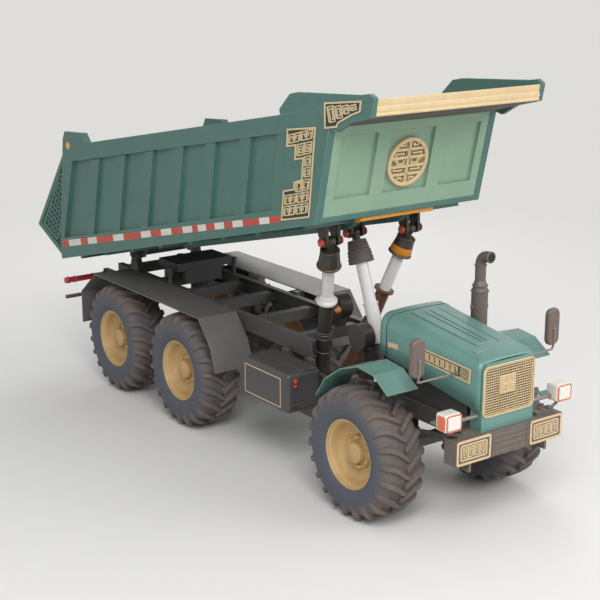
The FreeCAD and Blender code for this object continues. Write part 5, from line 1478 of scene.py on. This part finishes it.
toolBox = {
    "rear": 1.0144, "front": 1.9904, "out": 1.150, "inner": 0.640, "low": 0.860, "high": 1.362,
    "line": (1.090, 0.925, 1.845, 1.285),
    "hanger": (0.592, 0.660), "hangerZ": (1.200, 1.420), "hangerWide": 0.120,
    "latch": (0.020, 0.014), "ridgeY": 0.90, "capY": 0.80, "capHalf": 0.12,
    "light": [(0, 0.052), (0.016, 0.050), (0.026, 0.040), (0.030, 0.022), (0.030, 0.0), (0, 0.0)],
    "bulb": [(0, 0.046), (0.020, 0.040), (0.028, 0.022), (0.026, 0.0), (0, 0.0)],
}


def makeToolBoxTrim():
    rear, front, out, low, high = (toolBox[key] for key in ("rear", "front", "out", "low", "high"))
    boxes, hangers = [], []
    hangerLow, hangerHigh = toolBox["hangerZ"]
    for side in (1, -1):
        near, far = spread(side, toolBox["inner"], out)
        boxes.append(softBox("toolBody", (rear, near, low), (front, far, high), 0.062, 5))
        near, far = spread(side, *toolBox["hanger"])
        for x in (rear + 0.160, front - 0.300):
            hangers.append(softBox("boxHanger", (x, near, hangerLow),
                                   (x + toolBox["hangerWide"], far, hangerHigh), 0.006))
    joinAndFinish("toolBodies", boxes, "chassis", "boxGrey", "panel_grey", "tool_boxes")
    joinAndFinish("boxHangers", hangers, "chassis", "frameGrey", "frame_grey")
    for sideName, side in sides:
        dressToolBox(sideName, side)


def dressToolBox(sideName, side):
    rear, front, out, low, high = (toolBox[key] for key in ("rear", "front", "out", "low", "high"))
    left, bottom, right, top = toolBox["line"]
    outward = across * side

    def onSide(x, z):
        return Vector((x, side * out, z))
    outline = [(left, bottom), (right, bottom), (right, top), (left, top)]
    line = strips("toolBoxLine_" + sideName, [closed(outline)], 0.012, onSide, outward * 0.003, 0.0)
    finishPiece(line, "chassis", "trimCream", "panel_grey")
    door = roundedOutline(left + 0.012, bottom + 0.012, right - 0.012, top - 0.012, 0.010, 2)
    parts = [prism("boxDoor", door, onSide, outward * 0.005, 0.002)]
    latchHalf, latchOut = toolBox["latch"]
    near, far = spread(side, out, out + latchOut)
    for x in (left + 0.14, right - 0.14):
        parts.append(softBox("boxLatch", (x - latchHalf, near, top - 0.060),
                             (x + latchHalf, far, top - 0.030), 0.004))
    y = side * toolBox["ridgeY"]
    parts.append(strips("boxRidge", [[(rear + 0.10, y), (front - 0.06, y)]], 0.020, onLevel(high - 0.002),
                        upright * 0.010, 0.003))
    joinAndFinish("toolBoxDoor_" + sideName, parts, "chassis", "boxGrey", "panel_grey")
    y, half = side * toolBox["capY"], toolBox["capHalf"]
    lid = roundedOutline(rear + 0.02, y - half, front - 0.02, y + half, 0.03, 4)
    lid = prism("toolBoxCap_" + sideName, lid, onLevel(high - 0.003), upright * 0.016, 0.006)
    finishPiece(lid, "chassis", "boxGrey", "panel_grey")
    x, y = front - 0.002, side * (out - 0.110)
    lights = [lathe("markerLight", toolBox["light"], (x, y, high - 0.086), ahead, 24),
              lathe("markerBulb", toolBox["bulb"], (x, y, high - 0.150), ahead, 24)]
    joinAndFinish("toolBoxLight_" + sideName, lights, "chassis", "lensRed", "lamp_red")
    mount = softBox("lightPlate", (x, y - 0.036, high - 0.190), (front + 0.010, y + 0.036, high - 0.048),
                    0.004)
    step = softBox("lightStep", (x, y - 0.060, low + 0.110), (front + 0.040, y + 0.034, low + 0.128), 0.005)
    joinAndFinish("toolBoxMount_" + sideName, [mount, step], "chassis", "boxGrey", "panel_grey")


makeToolBoxTrim()

tail = {
    "x": -3.6756, "high": 1.350, "radius": 0.044, "inner": 0.575, "outer": 1.240,
    "bands": (0.600, 0.780, 1.080), "band": (-0.001, 0.006, 0.014, 0.004),
    "end": 0.054, "endSteps": 10, "endLength": 0.114, "socket": 0.046,
}


def makeTailTrim():
    x, z, radius = tail["x"], tail["high"], tail["radius"]
    paintFaces(dressed["tail_lights"], "lensRed",
               lambda point: abs(point.y) > tail["inner"] + 0.010 and abs(point.z - z) < radius + 0.004)
    inner, outer, half, edge = tail["band"]
    profile = turnedBand(radius + inner, radius + outer, -half, half, edge)
    bands = [lathe("barBand", profile, (x, side * y, z), across, 28)
             for side in (-1, 1) for y in tail["bands"]]
    joinAndFinish("tailBands", bands, "chassis", "panelGrey", "lamp_red")
    # a round end, from its socket on the bar to its pole
    length, end = tail["endLength"], tail["end"]
    dome = [(out, length - end - along) for out, along in halfCircle(end, tail["endSteps"])[:-1]]
    profile = dome + [(tail["socket"], 0.002), (0.0, 0.0)]
    seat = tail["outer"] - 0.109
    knobs = [lathe("barEnd", profile, (x, side * seat, z), across * side, 28) for side in (-1, 1)]
    joinAndFinish("tailEnds", knobs, "chassis", "lensRed", "lamp_red")


makeTailTrim()

bolt = {
    "profile": [(0, 0.010), (0.0104, 0.010), (0.013, 0.007), (0.013, 0), (0.0195, 0), (0.0195, -0.002),
                (0, -0.002)],
    "out": 0.5605, "columns": (-2.30, -2.10, -1.10, -0.90, -0.10, 0.10), "rows": (1.440, 1.560),
    "pivot": [(-2.86, 1.66), (-2.63, 1.66), (-2.80, 1.74), (-2.69, 1.74)],
}


def makeBolts():
    spots = [(x, z) for x in bolt["columns"] for z in bolt["rows"]] + bolt["pivot"]
    master = lathe("bolt", bolt["profile"], (0, 0, 0), upright, 6, smooth=20)
    places = []
    for side in (-1, 1):
        turn = upright.rotation_difference(across * side).to_matrix().to_4x4()
        places += [Matrix.Translation((x, side * bolt["out"], z)) @ turn for x, z in spots]
    finishPiece(repeatPiece("frameBolts", master, places), "chassis", "frameGrey", "frame_grey")


makeBolts()
print("rear end made")

studio = {
    "camera": (14.1894, -9.8340, 6.4410), "azimuth": 53.98, "elevation": 15.47, "lens": 79.85, "sensor": 36.0,
    "floor": tone(226, 224, 220), "world": tone(214, 216, 220), "worldStrength": 0.80,
    "backdrop": tone(222, 221, 218), "fade": (6.5, 17.0), "middle": (0, 0, 2.0), "size": 120,
    "lights": [("key", (13.0, -8.5, 13.0), 8.0, 1900), ("fill", (15.0, 8.0, 9.0), 9.0, 950),
               ("rim", (-12.0, 9.0, 11.0), 8.0, 1000)],
}


def eyeRays(tree):
    # one for the rays that reach the eye, straight or by a mirror or a lens, and none for the light
    rays = addNode(tree, "ShaderNodeLightPath").outputs
    seen = calculate(tree, "MAXIMUM", rays["Is Camera Ray"], rays["Is Glossy Ray"])
    return calculate(tree, "MAXIMUM", seen, rays["Is Transmission Ray"])


def mixShaders(tree, share, first, second, target):
    mix = addNode(tree, "ShaderNodeMixShader", {0: share, 1: first, 2: second})
    tree.links.new(mix.outputs["Shader"], target)


def makeWorld():
    # behind the floor the eye sees the backdrop's even grey, and the truck is lit by the world's own
    world = bpy.data.worlds.new("studio")
    bpy.context.scene.world = world
    world.use_nodes = True
    tree = world.node_tree
    soft = tree.nodes["Background"]
    soft.inputs["Color"].default_value = studio["world"]
    soft.inputs["Strength"].default_value = studio["worldStrength"]
    backdrop = addNode(tree, "ShaderNodeBackground", {"Color": studio["backdrop"], "Strength": 1.0})
    mixShaders(tree, eyeRays(tree), soft.outputs["Background"], backdrop.outputs["Background"],
               tree.nodes["World Output"].inputs["Surface"])


def makeFloor():
    clearSelection()
    bpy.ops.mesh.primitive_plane_add(size=studio["size"], location=(0, 0, 0))
    floor = bpy.context.object
    floor.name = "studioFloor"
    material = bpy.data.materials.new("paleFloor")
    material.use_nodes = True
    tree = material.node_tree
    shader = tree.nodes["Principled BSDF"]
    noise = addNode(tree, "ShaderNodeTexNoise", {"Scale": 1.4, "Detail": 3.0})
    tree.links.new(stretch(tree, noise.outputs["Fac"], 0.3, 0.7, 0.82, 0.9), shader.inputs["Roughness"])
    shader.inputs["Base Color"].default_value = studio["floor"]
    # far from the truck the floor passes into the backdrop, for the rays that reach the eye
    coords = addNode(tree, "ShaderNodeTexCoord").outputs["Object"]
    reach = addNode(tree, "ShaderNodeVectorMath", {0: coords}, operation="LENGTH").outputs["Value"]
    far = calculate(tree, "MULTIPLY", stretch(tree, reach, *studio["fade"]), eyeRays(tree))
    glow = addNode(tree, "ShaderNodeEmission", {"Color": studio["backdrop"], "Strength": 1.0})
    mixShaders(tree, far, shader.outputs["BSDF"], glow.outputs["Emission"],
               tree.nodes["Material Output"].inputs["Surface"])
    floor.data.materials.append(material)


def makeLights():
    for name, place, size, power in studio["lights"]:
        area = bpy.data.lights.new(name, "AREA")
        area.size = size
        area.energy = power
        light = bpy.data.objects.new(name, area)
        light.location = place
        light.rotation_euler = (Vector(studio["middle"]) - Vector(place)).to_track_quat("-Z", "Y").to_euler()
        bpy.context.scene.collection.objects.link(light)


def makeCamera():
    camera = bpy.data.objects.new("camera", bpy.data.cameras.new("camera"))
    camera.data.lens = studio["lens"]
    camera.data.sensor_width = studio["sensor"]
    camera.data.clip_end = 200
    camera.location = studio["camera"]
    camera.rotation_euler = (math.radians(90 - studio["elevation"]), 0, math.radians(studio["azimuth"]))
    bpy.context.scene.collection.objects.link(camera)
    bpy.context.scene.camera = camera


bpy.context.scene.view_settings.view_transform = "Standard"
makeWorld()
makeFloor()
makeLights()
makeCamera()
print("studio set")
